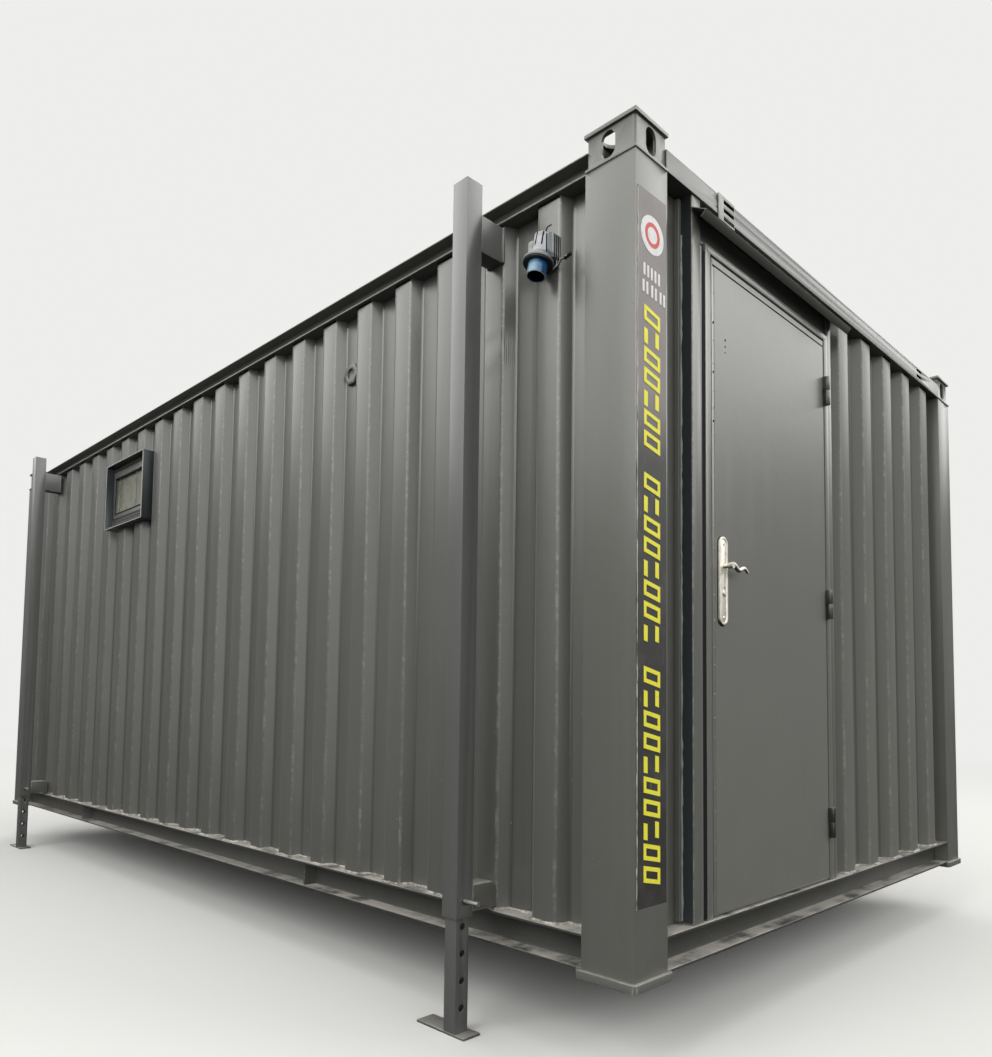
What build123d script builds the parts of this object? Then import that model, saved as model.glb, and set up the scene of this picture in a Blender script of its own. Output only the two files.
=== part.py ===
"""Portable site cabin of corrugated steel, standing on four telescopic jack legs.

X runs across the door end, Y from the door end to the rear end and Z up.
The origin is on the ground under the middle of the cabin.
Sizes are in millimetres. Places along a wall are told from the left front corner.
"""

import os

from build123d import *

# Shell
width = 2743
length = 5486
height = 2438
ground_clearance = 225

# Corner posts
post_x = 157
post_y = 179
post_wall = 6

# Base plates under the posts
plate_thickness = 25
plate_lip = 11
plate_inner_lip = 18
plate_clip = 9

# Lifting heads on the posts
cap_thickness = 12
cap_overhang = 3
cap_inner_lip = 4
head_height = 98
head_inset = 5
head_short_x = 3
head_short_y = 6
head_wall = 10
lip_thickness = 8
lip_overhang = 3
slot_width = 50
slot_height = 82
slot_x = 82
slot_y = 100
head_round = 10
cap_hole_x = 63
cap_hole_width = 62
cap_hole_length = 112

# Base beams with outward flanges
beam_bottom = 20
beam_top = 121
beam_flange = 8.5
beam_web_set = 58
beam_web = 6
frame_depth = 100
stiffener = 8
stiffener_set = 4
stiffener_places = (1600, 4100)

# Top rails of the long sides
rail_drop = 55
rail_depth = 68
rail_upper_flange = 5
rail_lower_flange = 6
rail_web_set = 45
rail_web = 6

# Header boxes of the ends
header_drop = 49
header_depth = 65
header_wall = 5
vent_slot_length = 67
vent_slot_height = 13
vent_slot_pitch = 27.5
vent_slot_drop = 14
vent_left = 477
vent_right_set = 399

# Vent plate on the front header
vent_plate_left = 445
vent_plate_right = 546
vent_plate_rise = 4
vent_plate_drop = 16
vent_plate_thickness = 3

# Corrugated walls
crest_set = 15
valley_set = 60
crest_width = 90
crest_slope = 20
side_pitch = 240.2
side_first = 112
end_pitch = 239
rear_first = 94
front_first = 87

# Floor
joist_width = 50
joist_wall = 6
joist_count = 11
deck_thickness = 28

# Roof
roof_drop = 11
roof_rib_height = 18
roof_pitch = 254
roof_rib = 80
roof_slope = 14
roof_first = 60

# Door portal
portal_left = 300
portal_width = 50
portal_face = 5
portal_right_face = 12
portal_right = 1325
lintel_face = 22
groove_width = 32

# Door frame
frame_face = 8
frame_band = 33
frame_head_band = 25
frame_right = 1284
frame_drop = 119
frame_rebate = 60
stop_width = 12

# Door leaf
door_gap = 6
leaf_face = 10
leaf_thickness = 44
leaf_lift = 7

# Hinges
hinge_radius = 11
hinge_pin_radius = 5
hinge_pin_length = 44
hinge_fit = 0.3
hinge_half = 55
hinge_gap = 0.3
hinge_y = -4
hinge_low = 334
hinge_drop = 199

# Handle
handle_x = 475
handle_z = 1149
backplate_width = 50
backplate_height = 278
backplate_thickness = 9
lever_rise = 45
lever_hub_radius = 11
lever_neck_radius = 9
lever_fit = 0.4
lever_out = 34
lever_length = 112
lever_width = 15
lever_thickness = 11
lever_edge = 2.5
lever_wave = 7
lever_droop = 6
cylinder_radius = 8.5
cylinder_drop = 39
cylinder_out = 4

# Canopy over the door
canopy_left = 291
canopy_right = 1374
canopy_out = 45
canopy_rise = 80
canopy_fall = 37
canopy_lip = 15
canopy_lean = 15
canopy_sheet = 3
canopy_flange = 30

# Window in the left wall
window_near = 3305
window_width = 535
window_drop = 155
window_height = 385
surround_out = 30
surround_sheet = 6
sash_set = 12
sash_depth = 48
sash_side = 33
sash_head = 66
sash_sill = 92
glass_set = 25
glass_thickness = 6

# Jack legs
jack_front_set = 530
jack_rear_set = 601
jack_out = 150
sleeve_size = 65
sleeve_wall = 6
sleeve_bottom = 118
sleeve_drop = 33
leg_size = 50
leg_wall = 4
leg_top = 700
foot_thickness = 8
foot_x = 68
foot_shift = 8.5
foot_ahead = 30
foot_length = 212
pin_height = 168
pin_radius = 7
pin_fit = 0.3
pin_out = 60
pin_back = 12
hole_radius = 10.3
hole_sides = 12
hole_pitch = 79
hole_count = 5

# Brackets of the jack legs
bracket_plate = 8
bracket_plate_lip = 7
upper_bracket_drop = 10
upper_bracket_height = 118
lower_bracket_bottom = 132
lower_bracket_top = 212
bracket_round = 22

# Power inlet on the left wall
inlet_x = -38
inlet_y = 330
inlet_hang = 15
inlet_tilt = 13
inlet_box_width = 80
inlet_box_out = 40
inlet_box_drop = 137
inlet_box_height = 75
inlet_box_round = 16
inlet_rib = 4.5
inlet_rib_out = 4
inlet_rib_count = 4
bell_radius = 48
bell_rim = 6
bell_height = 36
barrel_radius = 27
barrel_top = 106
barrel_edge = 10
barrel_groove = 4
barrel_groove_count = 8
barrel_groove_length = 34
inlet_plate_radius = 45
inlet_plate_thickness = 4
shroud_radius = 30
shroud_wall = 4
shroud_length = 40
core_thickness = 8
catch_x = 5
catch_wire = 5
catch_lug = (8, 20, 18)
catch_drop = 36
catch_run = 50
catch_rise = 44
catch_clip = (12, 22)

# Vent boss on the left wall
boss_y = 1424
boss_drop = 235
boss_across = 80
boss_thickness = 15
boss_bore = 22
boss_bore_depth = 8

# Derived places
left = -width / 2
front = -length / 2
base = ground_clearance
cap_bottom = height - cap_thickness
head_bottom = cap_bottom - head_height
post_top = head_bottom - lip_thickness
rail_top = height - rail_drop
rail_bottom = rail_top - rail_depth
header_top = height - header_drop
header_bottom = header_top - header_depth
frame_left = portal_left + portal_width + groove_width
frame_top = header_bottom - frame_drop
opening_left = frame_left + frame_band
opening_right = frame_right - frame_band
opening_top = frame_top - frame_head_band
leaf_left = opening_left + door_gap
leaf_right = opening_right - door_gap
leaf_bottom = beam_top + leaf_lift
leaf_top = opening_top - door_gap
leaf_back = leaf_face + leaf_thickness
vent_slot_top = header_top - vent_slot_drop
vent_right = width - vent_right_set - vent_slot_length
roof_crest = rail_top - roof_drop
roof_valley = roof_crest - roof_rib_height
canopy_root = frame_top + canopy_rise
canopy_lip_top = canopy_root - canopy_fall
window_far = window_near + window_width
window_top = rail_bottom - window_drop
window_bottom = window_top - window_height
sleeve_top = height - sleeve_drop
upper_bracket_top = rail_bottom - upper_bracket_drop
upper_bracket_bottom = upper_bracket_top - upper_bracket_height
hinge_x = (leaf_right + opening_right) / 2
hinge_heights = (hinge_low, handle_z, leaf_top - hinge_drop)
lever_z = handle_z + lever_rise
inlet_box_top = rail_bottom - inlet_box_drop
inlet_box_bottom = inlet_box_top - inlet_box_height
inlet_z = inlet_box_bottom - inlet_hang
boss_z = rail_bottom - boss_drop

os.makedirs("parts", exist_ok=True)


def save(part, name):
    """Label a finished piece and write it to its file."""
    part.label = name
    export_step(part, f"parts/{name}.step")


def side(sign, inset):
    """X of a plane set in from the left (-1) or the right (1) face."""
    return sign * (width / 2 - inset)


def end(sign, inset):
    """Y of a plane set in from the front (-1) or the rear (1) face."""
    return sign * (length / 2 - inset)


def block(x_pair, y_pair, z_pair, mode=Mode.ADD):
    """Box between two places on each axis, with heights from the base."""
    low = [min(pair) for pair in (x_pair, y_pair, z_pair)]
    high = [max(pair) for pair in (x_pair, y_pair, z_pair)]
    middle = [(a + b) / 2 for a, b in zip(low, high)]
    with Locations((middle[0], middle[1], middle[2] + base)):
        Box(high[0] - low[0], high[1] - low[1], high[2] - low[2], mode=mode)


def across(y):
    """Upright plane facing the front at a place along the cabin."""
    return Plane.XZ.offset(-y)


def ribs(start, stop, first, step, crest, slope):
    """Places where the crests of a sheet start and stop."""
    count = int((stop - start - first - crest - slope) // step) + 1
    starts = [start + first + index * step for index in range(count)]
    return [(place, place + crest) for place in starts]


def sheet_outline(start, stop, crests, slope, high, low, back):
    """Outline of a ribbed sheet as pairs of place and depth."""
    points = [(start, back), (start, low)]
    for crest_start, crest_stop in crests:
        points.append((crest_start - slope, low))
        points.append((crest_start, high))
        points.append((crest_stop, high))
        points.append((crest_stop + slope, low))
    points.append((stop, low))
    points.append((stop, back))
    return points


def wall_outline(start, stop, first, step):
    """Outline of a corrugated wall between two places."""
    crests = ribs(start, stop, first, step, crest_width, crest_slope)
    return sheet_outline(start, stop, crests, crest_slope, crest_set, valley_set, frame_depth)


corner_signs = [(sx, sy) for sy in (-1, 1) for sx in (-1, 1)]

# Corner posts
with BuildPart() as corner_posts:
    for sx, sy in corner_signs:
        block((side(sx, 0), side(sx, post_x)), (end(sy, 0), end(sy, post_y)), (plate_thickness, post_top))
        block(
            (side(sx, post_wall), side(sx, post_x - post_wall)),
            (end(sy, post_wall), end(sy, post_y - post_wall)),
            (plate_thickness, post_top),
            mode=Mode.SUBTRACT,
        )
save(corner_posts.part, "corner_posts")

# Base plates
with BuildPart() as corner_base_plates:
    for sx, sy in corner_signs:
        block(
            (side(sx, -plate_lip), side(sx, post_x + plate_inner_lip)),
            (end(sy, -plate_lip), end(sy, post_y + plate_inner_lip)),
            (0, plate_thickness),
        )
    chamfer(corner_base_plates.edges().filter_by(Axis.Z), plate_clip)
save(corner_base_plates.part, "corner_base_plates")

# Lifting heads
head_cut = head_wall + 2 * head_inset
head_far_x = post_x - head_short_x
head_far_y = post_y - head_short_y
with BuildPart() as corner_heads:
    for sx, sy in corner_signs:
        block(
            (side(sx, head_inset), side(sx, head_far_x)),
            (end(sy, head_inset), end(sy, head_far_y)),
            (head_bottom, cap_bottom),
        )
    outer_corners = corner_heads.edges().filter_by(Axis.Z).sort_by_distance((0, 0, base + height))[-4:]
    fillet(outer_corners, head_round)
    for sx, sy in corner_signs:
        block(
            (side(sx, -lip_overhang), side(sx, post_x)),
            (end(sy, -lip_overhang), end(sy, post_y)),
            (post_top, head_bottom),
        )
        block(
            (side(sx, -cap_overhang), side(sx, post_x + cap_inner_lip)),
            (end(sy, -cap_overhang), end(sy, post_y + cap_inner_lip)),
            (cap_bottom, height),
        )
        block(
            (side(sx, head_inset + head_wall), side(sx, head_far_x - head_wall)),
            (end(sy, head_inset + head_wall), end(sy, head_far_y - head_wall)),
            (head_bottom, cap_bottom),
            mode=Mode.SUBTRACT,
        )
    with BuildSketch(Plane.XY.offset(base + height)):
        for sx, sy in corner_signs:
            with Locations((side(sx, cap_hole_x), end(sy, slot_y))):
                SlotOverall(cap_hole_length, cap_hole_width, rotation=90)
    extrude(amount=-cap_thickness, mode=Mode.SUBTRACT)
    slot_z = base + (head_bottom + cap_bottom) / 2
    for sx in (-1, 1):
        with BuildSketch(Plane.YZ.offset(side(sx, 0))):
            with Locations(*[(end(sy, slot_y), slot_z) for sy in (-1, 1)]):
                SlotOverall(slot_height, slot_width, rotation=90)
        extrude(amount=-sx * head_cut, mode=Mode.SUBTRACT)
    for sy in (-1, 1):
        with BuildSketch(across(end(sy, 0))):
            with Locations(*[(side(sx, slot_x), slot_z) for sx in (-1, 1)]):
                SlotOverall(slot_height, slot_width, rotation=90)
        extrude(amount=sy * head_cut, mode=Mode.SUBTRACT)
save(corner_heads.part, "corner_heads")

# Base beams of the long sides
beam_lower_flange = (beam_bottom, beam_bottom + beam_flange)
beam_upper_flange = (beam_top - beam_flange, beam_top)
beam_throat = (beam_lower_flange[1], beam_upper_flange[0])
with BuildPart() as base_side_beams:
    for sx in (-1, 1):
        run = (end(-1, post_y), end(1, post_y))
        block((side(sx, 0), side(sx, frame_depth)), run, beam_lower_flange)
        block((side(sx, 0), side(sx, frame_depth)), run, beam_upper_flange)
        block((side(sx, beam_web_set), side(sx, beam_web_set + beam_web)), run, beam_throat)
        for place in stiffener_places:
            block(
                (side(sx, stiffener_set), side(sx, beam_web_set)),
                (front + place, front + place + stiffener),
                beam_throat,
            )
        for sy in (-1, 1):
            block(
                (side(sx, 0), side(sx, frame_depth)),
                (end(sy, post_y), end(sy, post_y + plate_inner_lip)),
                (0, plate_thickness),
                mode=Mode.SUBTRACT,
            )
save(base_side_beams.part, "base_side_beams")

# Base beams of the ends
with BuildPart() as base_end_beams:
    for sy in (-1, 1):
        run = (side(-1, post_x), side(1, post_x))
        block(run, (end(sy, 0), end(sy, frame_depth)), beam_lower_flange)
        block(run, (end(sy, 0), end(sy, frame_depth)), beam_upper_flange)
        block(run, (end(sy, beam_web_set), end(sy, beam_web_set + beam_web)), beam_throat)
        for sx in (-1, 1):
            block(
                (side(sx, post_x), side(sx, post_x + plate_inner_lip)),
                (end(sy, 0), end(sy, frame_depth)),
                (0, plate_thickness),
                mode=Mode.SUBTRACT,
            )
save(base_end_beams.part, "base_end_beams")

# Floor joists, channels stepped to pass between the flanges of the beams
joist_step = (length - 2 * post_y - joist_width) / (joist_count - 1)
joist_seat = beam_web_set + beam_web
with BuildPart() as floor_joists:
    for index in range(joist_count):
        start = end(-1, post_y) + index * joist_step
        block((side(-1, joist_seat), side(1, joist_seat)), (start, start + joist_width), beam_throat)
        block(
            (side(-1, frame_depth), side(1, frame_depth)),
            (start, start + joist_width),
            (beam_throat[0], beam_top),
        )
        block(
            (side(-1, joist_seat), side(1, joist_seat)),
            (start + joist_wall, start + joist_width),
            (beam_throat[0] + joist_wall, beam_throat[1] - joist_wall),
            mode=Mode.SUBTRACT,
        )
save(floor_joists.part, "floor_joists")

# Floor deck, notched round the posts
with BuildPart() as floor_deck:
    deck = (beam_top, beam_top + deck_thickness)
    block((side(-1, frame_depth), side(1, frame_depth)), (end(-1, frame_depth), end(1, frame_depth)), deck)
    for sx, sy in corner_signs:
        block(
            (side(sx, frame_depth), side(sx, post_x)),
            (end(sy, frame_depth), end(sy, post_y)),
            deck,
            mode=Mode.SUBTRACT,
        )
save(floor_deck.part, "floor_deck")

# Top rails of the long sides, channels open to the outside
with BuildPart() as top_side_rails:
    for sx in (-1, 1):
        run = (end(-1, post_y - head_short_y), end(1, post_y - head_short_y))
        flange = (side(sx, 0), side(sx, frame_depth))
        block(flange, run, (rail_bottom, rail_bottom + rail_lower_flange))
        block(flange, run, (rail_top - rail_upper_flange, rail_top))
        block((side(sx, rail_web_set), side(sx, rail_web_set + rail_web)), run, (rail_bottom, rail_top))
        for sy in (-1, 1):
            block(
                flange,
                (end(sy, post_y - head_short_y), end(sy, post_y)),
                (rail_bottom, head_bottom),
                mode=Mode.SUBTRACT,
            )
save(top_side_rails.part, "top_side_rails")

# Header boxes of the ends, the front one with vent slots
with BuildPart() as top_end_headers:
    for sy in (-1, 1):
        run = (side(-1, post_x - head_short_x), side(1, post_x - head_short_x))
        block(run, (end(sy, 0), end(sy, frame_depth)), (header_bottom, header_top))
        block(
            run,
            (end(sy, header_wall), end(sy, frame_depth - header_wall)),
            (header_bottom + header_wall, header_top - header_wall),
            mode=Mode.SUBTRACT,
        )
        for sx in (-1, 1):
            block(
                (side(sx, post_x - head_short_x), side(sx, post_x)),
                (end(sy, 0), end(sy, frame_depth)),
                (header_bottom, head_bottom),
                mode=Mode.SUBTRACT,
            )
    slot_half = vent_slot_height / 2
    for place in (vent_left, vent_right):
        for row in range(2):
            middle = vent_slot_top - row * vent_slot_pitch
            block(
                (left + place, left + place + vent_slot_length),
                (front, front + header_wall),
                (middle - slot_half, middle + slot_half),
                mode=Mode.SUBTRACT,
            )
save(top_end_headers.part, "top_end_headers")

# Vent plate
with BuildPart() as vent_plate:
    plate_y = (front - vent_plate_thickness, front)
    block(
        (left + vent_plate_left, left + vent_plate_right),
        plate_y,
        (header_bottom - vent_plate_drop, header_top + vent_plate_rise),
    )
    for row in range(3):
        middle = vent_slot_top - row * vent_slot_pitch
        block(
            (left + vent_left, left + vent_left + vent_slot_length),
            plate_y,
            (middle - slot_half, middle + slot_half),
            mode=Mode.SUBTRACT,
        )
save(vent_plate.part, "vent_plate")

# Long walls, the left one with its window opening
side_points = wall_outline(post_y, length - post_y, side_first, side_pitch)
with BuildPart() as left_wall:
    with BuildSketch(Plane.XY.offset(base + beam_top)):
        with BuildLine():
            Polyline(*[(left + depth, front + place) for place, depth in side_points], close=True)
        make_face()
    extrude(amount=rail_bottom - beam_top)
    block(
        (left, left + frame_depth),
        (front + window_near, front + window_far),
        (window_bottom, window_top),
        mode=Mode.SUBTRACT,
    )
save(left_wall.part, "left_wall")

with BuildPart() as right_wall:
    with BuildSketch(Plane.XY.offset(base + beam_top)):
        with BuildLine():
            Polyline(*[(side(1, depth), front + place) for place, depth in side_points], close=True)
        make_face()
    extrude(amount=rail_bottom - beam_top)
save(right_wall.part, "right_wall")

# Rear wall
rear_points = wall_outline(post_x, width - post_x, rear_first, end_pitch)
with BuildPart() as rear_wall:
    with BuildSketch(Plane.XY.offset(base + beam_top)):
        with BuildLine():
            Polyline(*[(left + place, end(1, depth)) for place, depth in rear_points], close=True)
        make_face()
    extrude(amount=header_bottom - beam_top)
save(rear_wall.part, "rear_wall")

# Front wall beside and over the door
with BuildPart() as front_wall_left:
    block(
        (left + post_x, left + portal_left),
        (front + valley_set, front + frame_depth),
        (beam_top, header_bottom),
    )
save(front_wall_left.part, "front_wall_left")

front_points = wall_outline(portal_right, width - post_x, front_first, end_pitch)
with BuildPart() as front_wall_right:
    with BuildSketch(Plane.XY.offset(base + beam_top)):
        with BuildLine():
            Polyline(*[(left + place, front + depth) for place, depth in front_points], close=True)
        make_face()
    extrude(amount=header_bottom - beam_top)
save(front_wall_right.part, "front_wall_right")

with BuildPart() as door_lintel:
    block(
        (left + portal_left + portal_width, left + frame_right),
        (front + lintel_face, front + frame_depth),
        (frame_top, header_bottom),
    )
save(door_lintel.part, "door_lintel")

# Door portal posts, the left one with the floor of the groove beside the frame
with BuildPart() as door_portal:
    block(
        (left + portal_left, left + portal_left + portal_width),
        (front + portal_face, front + frame_depth),
        (beam_top, header_bottom),
    )
    block(
        (left + portal_left + portal_width, left + frame_left),
        (front + frame_rebate, front + frame_depth),
        (beam_top, frame_top),
    )
    block(
        (left + frame_right, left + portal_right),
        (front + portal_right_face, front + frame_depth),
        (beam_top, header_bottom),
    )
save(door_portal.part, "door_portal")

# Door frame with its stop
with BuildPart() as door_frame:
    block(
        (left + frame_left, left + frame_right),
        (front + frame_face, front + frame_depth),
        (beam_top, frame_top),
    )
    block(
        (left + opening_left, left + opening_right),
        (front + frame_face, front + frame_rebate),
        (beam_top, opening_top),
        mode=Mode.SUBTRACT,
    )
    block(
        (left + opening_left + stop_width, left + opening_right - stop_width),
        (front + frame_rebate, front + frame_depth),
        (beam_top, opening_top - stop_width),
        mode=Mode.SUBTRACT,
    )
save(door_frame.part, "door_frame")

# Threshold between the stops, level with the deck
with BuildPart() as door_threshold:
    block(
        (left + opening_left + stop_width, left + opening_right - stop_width),
        (front + frame_rebate, front + frame_depth),
        (beam_top, beam_top + deck_thickness),
    )
save(door_threshold.part, "door_threshold")

# Roof with ribs across the cabin
roof_start = frame_depth
roof_stop = length - frame_depth
roof_bottom = rail_bottom + rail_lower_flange
roof_crests = ribs(roof_start, roof_stop, roof_first, roof_pitch, roof_rib, roof_slope)
roof_points = sheet_outline(
    roof_start, roof_stop, roof_crests, roof_slope, roof_crest, roof_valley, roof_bottom
)
roof_edge = rail_web_set + rail_web
with BuildPart() as roof:
    with BuildSketch(Plane.YZ.offset(side(-1, roof_edge))):
        with BuildLine():
            Polyline(*[(front + place, base + level) for place, level in roof_points], close=True)
        make_face()
    extrude(amount=width - 2 * roof_edge)
    for sx, sy in corner_signs:
        block(
            (side(sx, roof_edge), side(sx, post_x)),
            (end(sy, frame_depth), end(sy, post_y)),
            (roof_bottom, roof_crest),
            mode=Mode.SUBTRACT,
        )
save(roof.part, "roof")

# Door leaf
with BuildPart() as door_leaf:
    block(
        (left + leaf_left, left + leaf_right),
        (front + leaf_face, front + leaf_back),
        (leaf_bottom, leaf_top),
    )
    with BuildSketch(across(front + leaf_face)):
        with Locations((left + handle_x, base + lever_z)):
            Circle(lever_neck_radius + lever_fit)
        with Locations((left + handle_x, base + handle_z - cylinder_drop)):
            Circle(cylinder_radius)
    extrude(amount=-leaf_thickness, mode=Mode.SUBTRACT)
save(door_leaf.part, "door_leaf")

# Hinge barrels on the frame, with their pins
barrel_height = hinge_half - hinge_gap / 2
with BuildPart() as hinge_frame_barrels:
    for level in hinge_heights:
        bottom = level - hinge_half
        with Locations((left + hinge_x, front + hinge_y, base + bottom)):
            Cylinder(hinge_radius, barrel_height, align=(Align.CENTER, Align.CENTER, Align.MIN))
            Cylinder(
                hinge_pin_radius,
                barrel_height + hinge_pin_length,
                align=(Align.CENTER, Align.CENTER, Align.MIN),
            )
        block(
            (left + opening_right, left + hinge_x + hinge_radius),
            (front + hinge_y, front + frame_face),
            (bottom, bottom + barrel_height),
        )
save(hinge_frame_barrels.part, "hinge_frame_barrels")

# Hinge barrels on the leaf
with BuildPart() as hinge_leaf_barrels:
    for level in hinge_heights:
        bottom = level + hinge_gap / 2
        with Locations((left + hinge_x, front + hinge_y, base + bottom)):
            Cylinder(hinge_radius, barrel_height, align=(Align.CENTER, Align.CENTER, Align.MIN))
        block(
            (left + hinge_x - hinge_radius, left + leaf_right),
            (front + hinge_y, front + leaf_face),
            (bottom, bottom + barrel_height),
        )
        with Locations((left + hinge_x, front + hinge_y, base + bottom)):
            Cylinder(
                hinge_pin_radius + hinge_fit,
                hinge_pin_length + hinge_gap,
                align=(Align.CENTER, Align.CENTER, Align.MIN),
                mode=Mode.SUBTRACT,
            )
save(hinge_leaf_barrels.part, "hinge_leaf_barrels")

# Backplates on both faces of the leaf
with BuildPart() as door_backplates:
    for face, amount in ((leaf_face, backplate_thickness), (leaf_back, -backplate_thickness)):
        with BuildSketch(across(front + face)):
            with Locations((left + handle_x, base + handle_z)):
                SlotOverall(backplate_height, backplate_width, rotation=90)
            with Locations((left + handle_x, base + lever_z)):
                Circle(lever_neck_radius + lever_fit, mode=Mode.SUBTRACT)
            with Locations((left + handle_x, base + handle_z - cylinder_drop)):
                Circle(cylinder_radius, mode=Mode.SUBTRACT)
        extrude(amount=amount)
save(door_backplates.part, "door_backplates")

# Lock cylinder through the leaf
plate_face = leaf_face - backplate_thickness
plate_back = leaf_back + backplate_thickness
with BuildPart() as lock_cylinder:
    with BuildSketch(across(front + plate_face - cylinder_out)):
        with Locations((left + handle_x, base + handle_z - cylinder_drop)):
            Circle(cylinder_radius)
    extrude(amount=-(plate_back - plate_face + 2 * cylinder_out))
save(lock_cylinder.part, "lock_cylinder")

# Lever handles on one spindle, with waved grips
lever_outer = plate_face - lever_out
lever_inner = plate_back + lever_out
grip_half = lever_width / 2
with BuildPart() as lever_handles:
    for place in (lever_outer, lever_inner):
        with BuildSketch(across(front + place - lever_thickness / 2)):
            with BuildLine():
                grip_x = left + handle_x
                grip_z = base + lever_z
                heel = grip_x + lever_length / 3
                tip = grip_x + lever_length
                upper = ThreePointArc(
                    (grip_x, grip_z + grip_half), (heel, grip_z + lever_wave), (tip, grip_z - lever_droop)
                )
                lower = ThreePointArc(
                    (grip_x, grip_z - grip_half),
                    (heel, grip_z - grip_half + lever_wave / 2),
                    (tip - grip_half, grip_z - lever_droop - grip_half),
                )
                Line(upper @ 0, lower @ 0)
                Line(upper @ 1, lower @ 1)
            make_face()
        extrude(amount=-lever_thickness)
    chamfer(lever_handles.edges().filter_by(Axis.Y, reverse=True), lever_edge)
    for place in (lever_outer, lever_inner):
        with BuildSketch(across(front + place - lever_thickness / 2)):
            with Locations((grip_x, grip_z)):
                Circle(lever_hub_radius)
        extrude(amount=-lever_thickness)
    with BuildSketch(across(front + lever_outer)):
        with Locations((grip_x, grip_z)):
            Circle(lever_neck_radius)
    extrude(amount=lever_outer - lever_inner)
save(lever_handles.part, "lever_handles")

# Canopy over the door, a folded sheet with its lip turned back under it
with BuildPart() as door_canopy:
    canopy_spine = [
        (lintel_face, canopy_root + canopy_flange),
        (lintel_face, canopy_root),
        (-canopy_out, canopy_lip_top),
        (canopy_lean - canopy_out, canopy_lip_top - canopy_lip),
    ]
    with BuildSketch(Plane.YZ.offset(left + canopy_left)):
        with BuildLine():
            Polyline(*[(front + place, base + level) for place, level in canopy_spine])
            offset(amount=canopy_sheet, side=Side.RIGHT, kind=Kind.INTERSECTION)
        make_face()
    extrude(amount=canopy_right - canopy_left)
    for x_pair, face in (
        ((canopy_left, portal_left + portal_width), portal_face),
        ((frame_right, canopy_right), portal_right_face),
    ):
        block(
            (left + x_pair[0], left + x_pair[1]),
            (front + face, front + lintel_face),
            (canopy_lip_top, canopy_root + canopy_flange),
            mode=Mode.SUBTRACT,
        )
save(door_canopy.part, "door_canopy")

# Window surround, a flat bar ring through the wall
with BuildPart() as window_surround:
    for inset, mode in ((0, Mode.ADD), (surround_sheet, Mode.SUBTRACT)):
        block(
            (left - surround_out, left + frame_depth),
            (front + window_near + inset, front + window_far - inset),
            (window_bottom + inset, window_top - inset),
            mode=mode,
        )
save(window_surround.part, "window_surround")

# Window frame
glass_y = (front + window_near + surround_sheet + sash_side, front + window_far - surround_sheet - sash_side)
glass_z = (window_bottom + surround_sheet + sash_sill, window_top - surround_sheet - sash_head)
with BuildPart() as window_frame:
    block(
        (left + sash_set, left + sash_set + sash_depth),
        (front + window_near + surround_sheet, front + window_far - surround_sheet),
        (window_bottom + surround_sheet, window_top - surround_sheet),
    )
    block((left + sash_set, left + sash_set + sash_depth), glass_y, glass_z, mode=Mode.SUBTRACT)
save(window_frame.part, "window_frame")

with BuildPart() as window_glass:
    block((left + glass_set, left + glass_set + glass_thickness), glass_y, glass_z)
save(window_glass.part, "window_glass")

# Jack legs, at both ends of both long sides, where each leg holds its pin up and the sleeve rests on it
jack_rows = (front + jack_front_set, end(1, jack_rear_set) - sleeve_size)
jack_spots = [(sx, y) for sx in (-1, 1) for y in jack_rows]
sleeve_inset = -jack_out
sleeve_middle = sleeve_inset + sleeve_size / 2
leg_gap = (sleeve_size - leg_size) / 2
hole_slack = hole_radius - pin_radius - pin_fit

with BuildPart() as jack_sleeves:
    for sx, y in jack_spots:
        for inset, mode in ((0, Mode.ADD), (sleeve_wall, Mode.SUBTRACT)):
            block(
                (side(sx, sleeve_inset + inset), side(sx, sleeve_inset + sleeve_size - inset)),
                (y + inset, y + sleeve_size - inset),
                (sleeve_bottom, sleeve_top - inset),
                mode=mode,
            )
        with BuildSketch(across(y)):
            with Locations((side(sx, sleeve_middle), base + pin_height - hole_slack)):
                RegularPolygon(hole_radius, hole_sides, major_radius=False)
        extrude(amount=-sleeve_size, mode=Mode.SUBTRACT)
save(jack_sleeves.part, "jack_sleeves")

with BuildPart() as jack_legs:
    for sx, y in jack_spots:
        for inset, mode in ((leg_gap, Mode.ADD), (leg_gap + leg_wall, Mode.SUBTRACT)):
            block(
                (side(sx, sleeve_inset + inset), side(sx, sleeve_inset + sleeve_size - inset)),
                (y + inset, y + sleeve_size - inset),
                (foot_thickness - base, leg_top),
                mode=mode,
            )
        with BuildSketch(across(y)):
            for index in range(hole_count):
                hole_height = pin_height + hole_slack - index * hole_pitch
                with Locations((side(sx, sleeve_middle), base + hole_height)):
                    RegularPolygon(hole_radius, hole_sides, major_radius=False)
        extrude(amount=-sleeve_size, mode=Mode.SUBTRACT)
save(jack_legs.part, "jack_legs")

foot_middle = sleeve_middle + foot_shift
with BuildPart() as jack_feet:
    for sx, y in jack_spots:
        block(
            (side(sx, foot_middle - foot_x / 2), side(sx, foot_middle + foot_x / 2)),
            (y - foot_ahead, y - foot_ahead + foot_length),
            (-base, foot_thickness - base),
        )
save(jack_feet.part, "jack_feet")

with BuildPart() as jack_pins:
    for sx, y in jack_spots:
        with BuildSketch(across(y - pin_out)):
            with Locations((side(sx, sleeve_middle), base + pin_height)):
                Circle(pin_radius)
        extrude(amount=-(pin_out + sleeve_size + pin_back))
save(jack_pins.part, "jack_pins")

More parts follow.
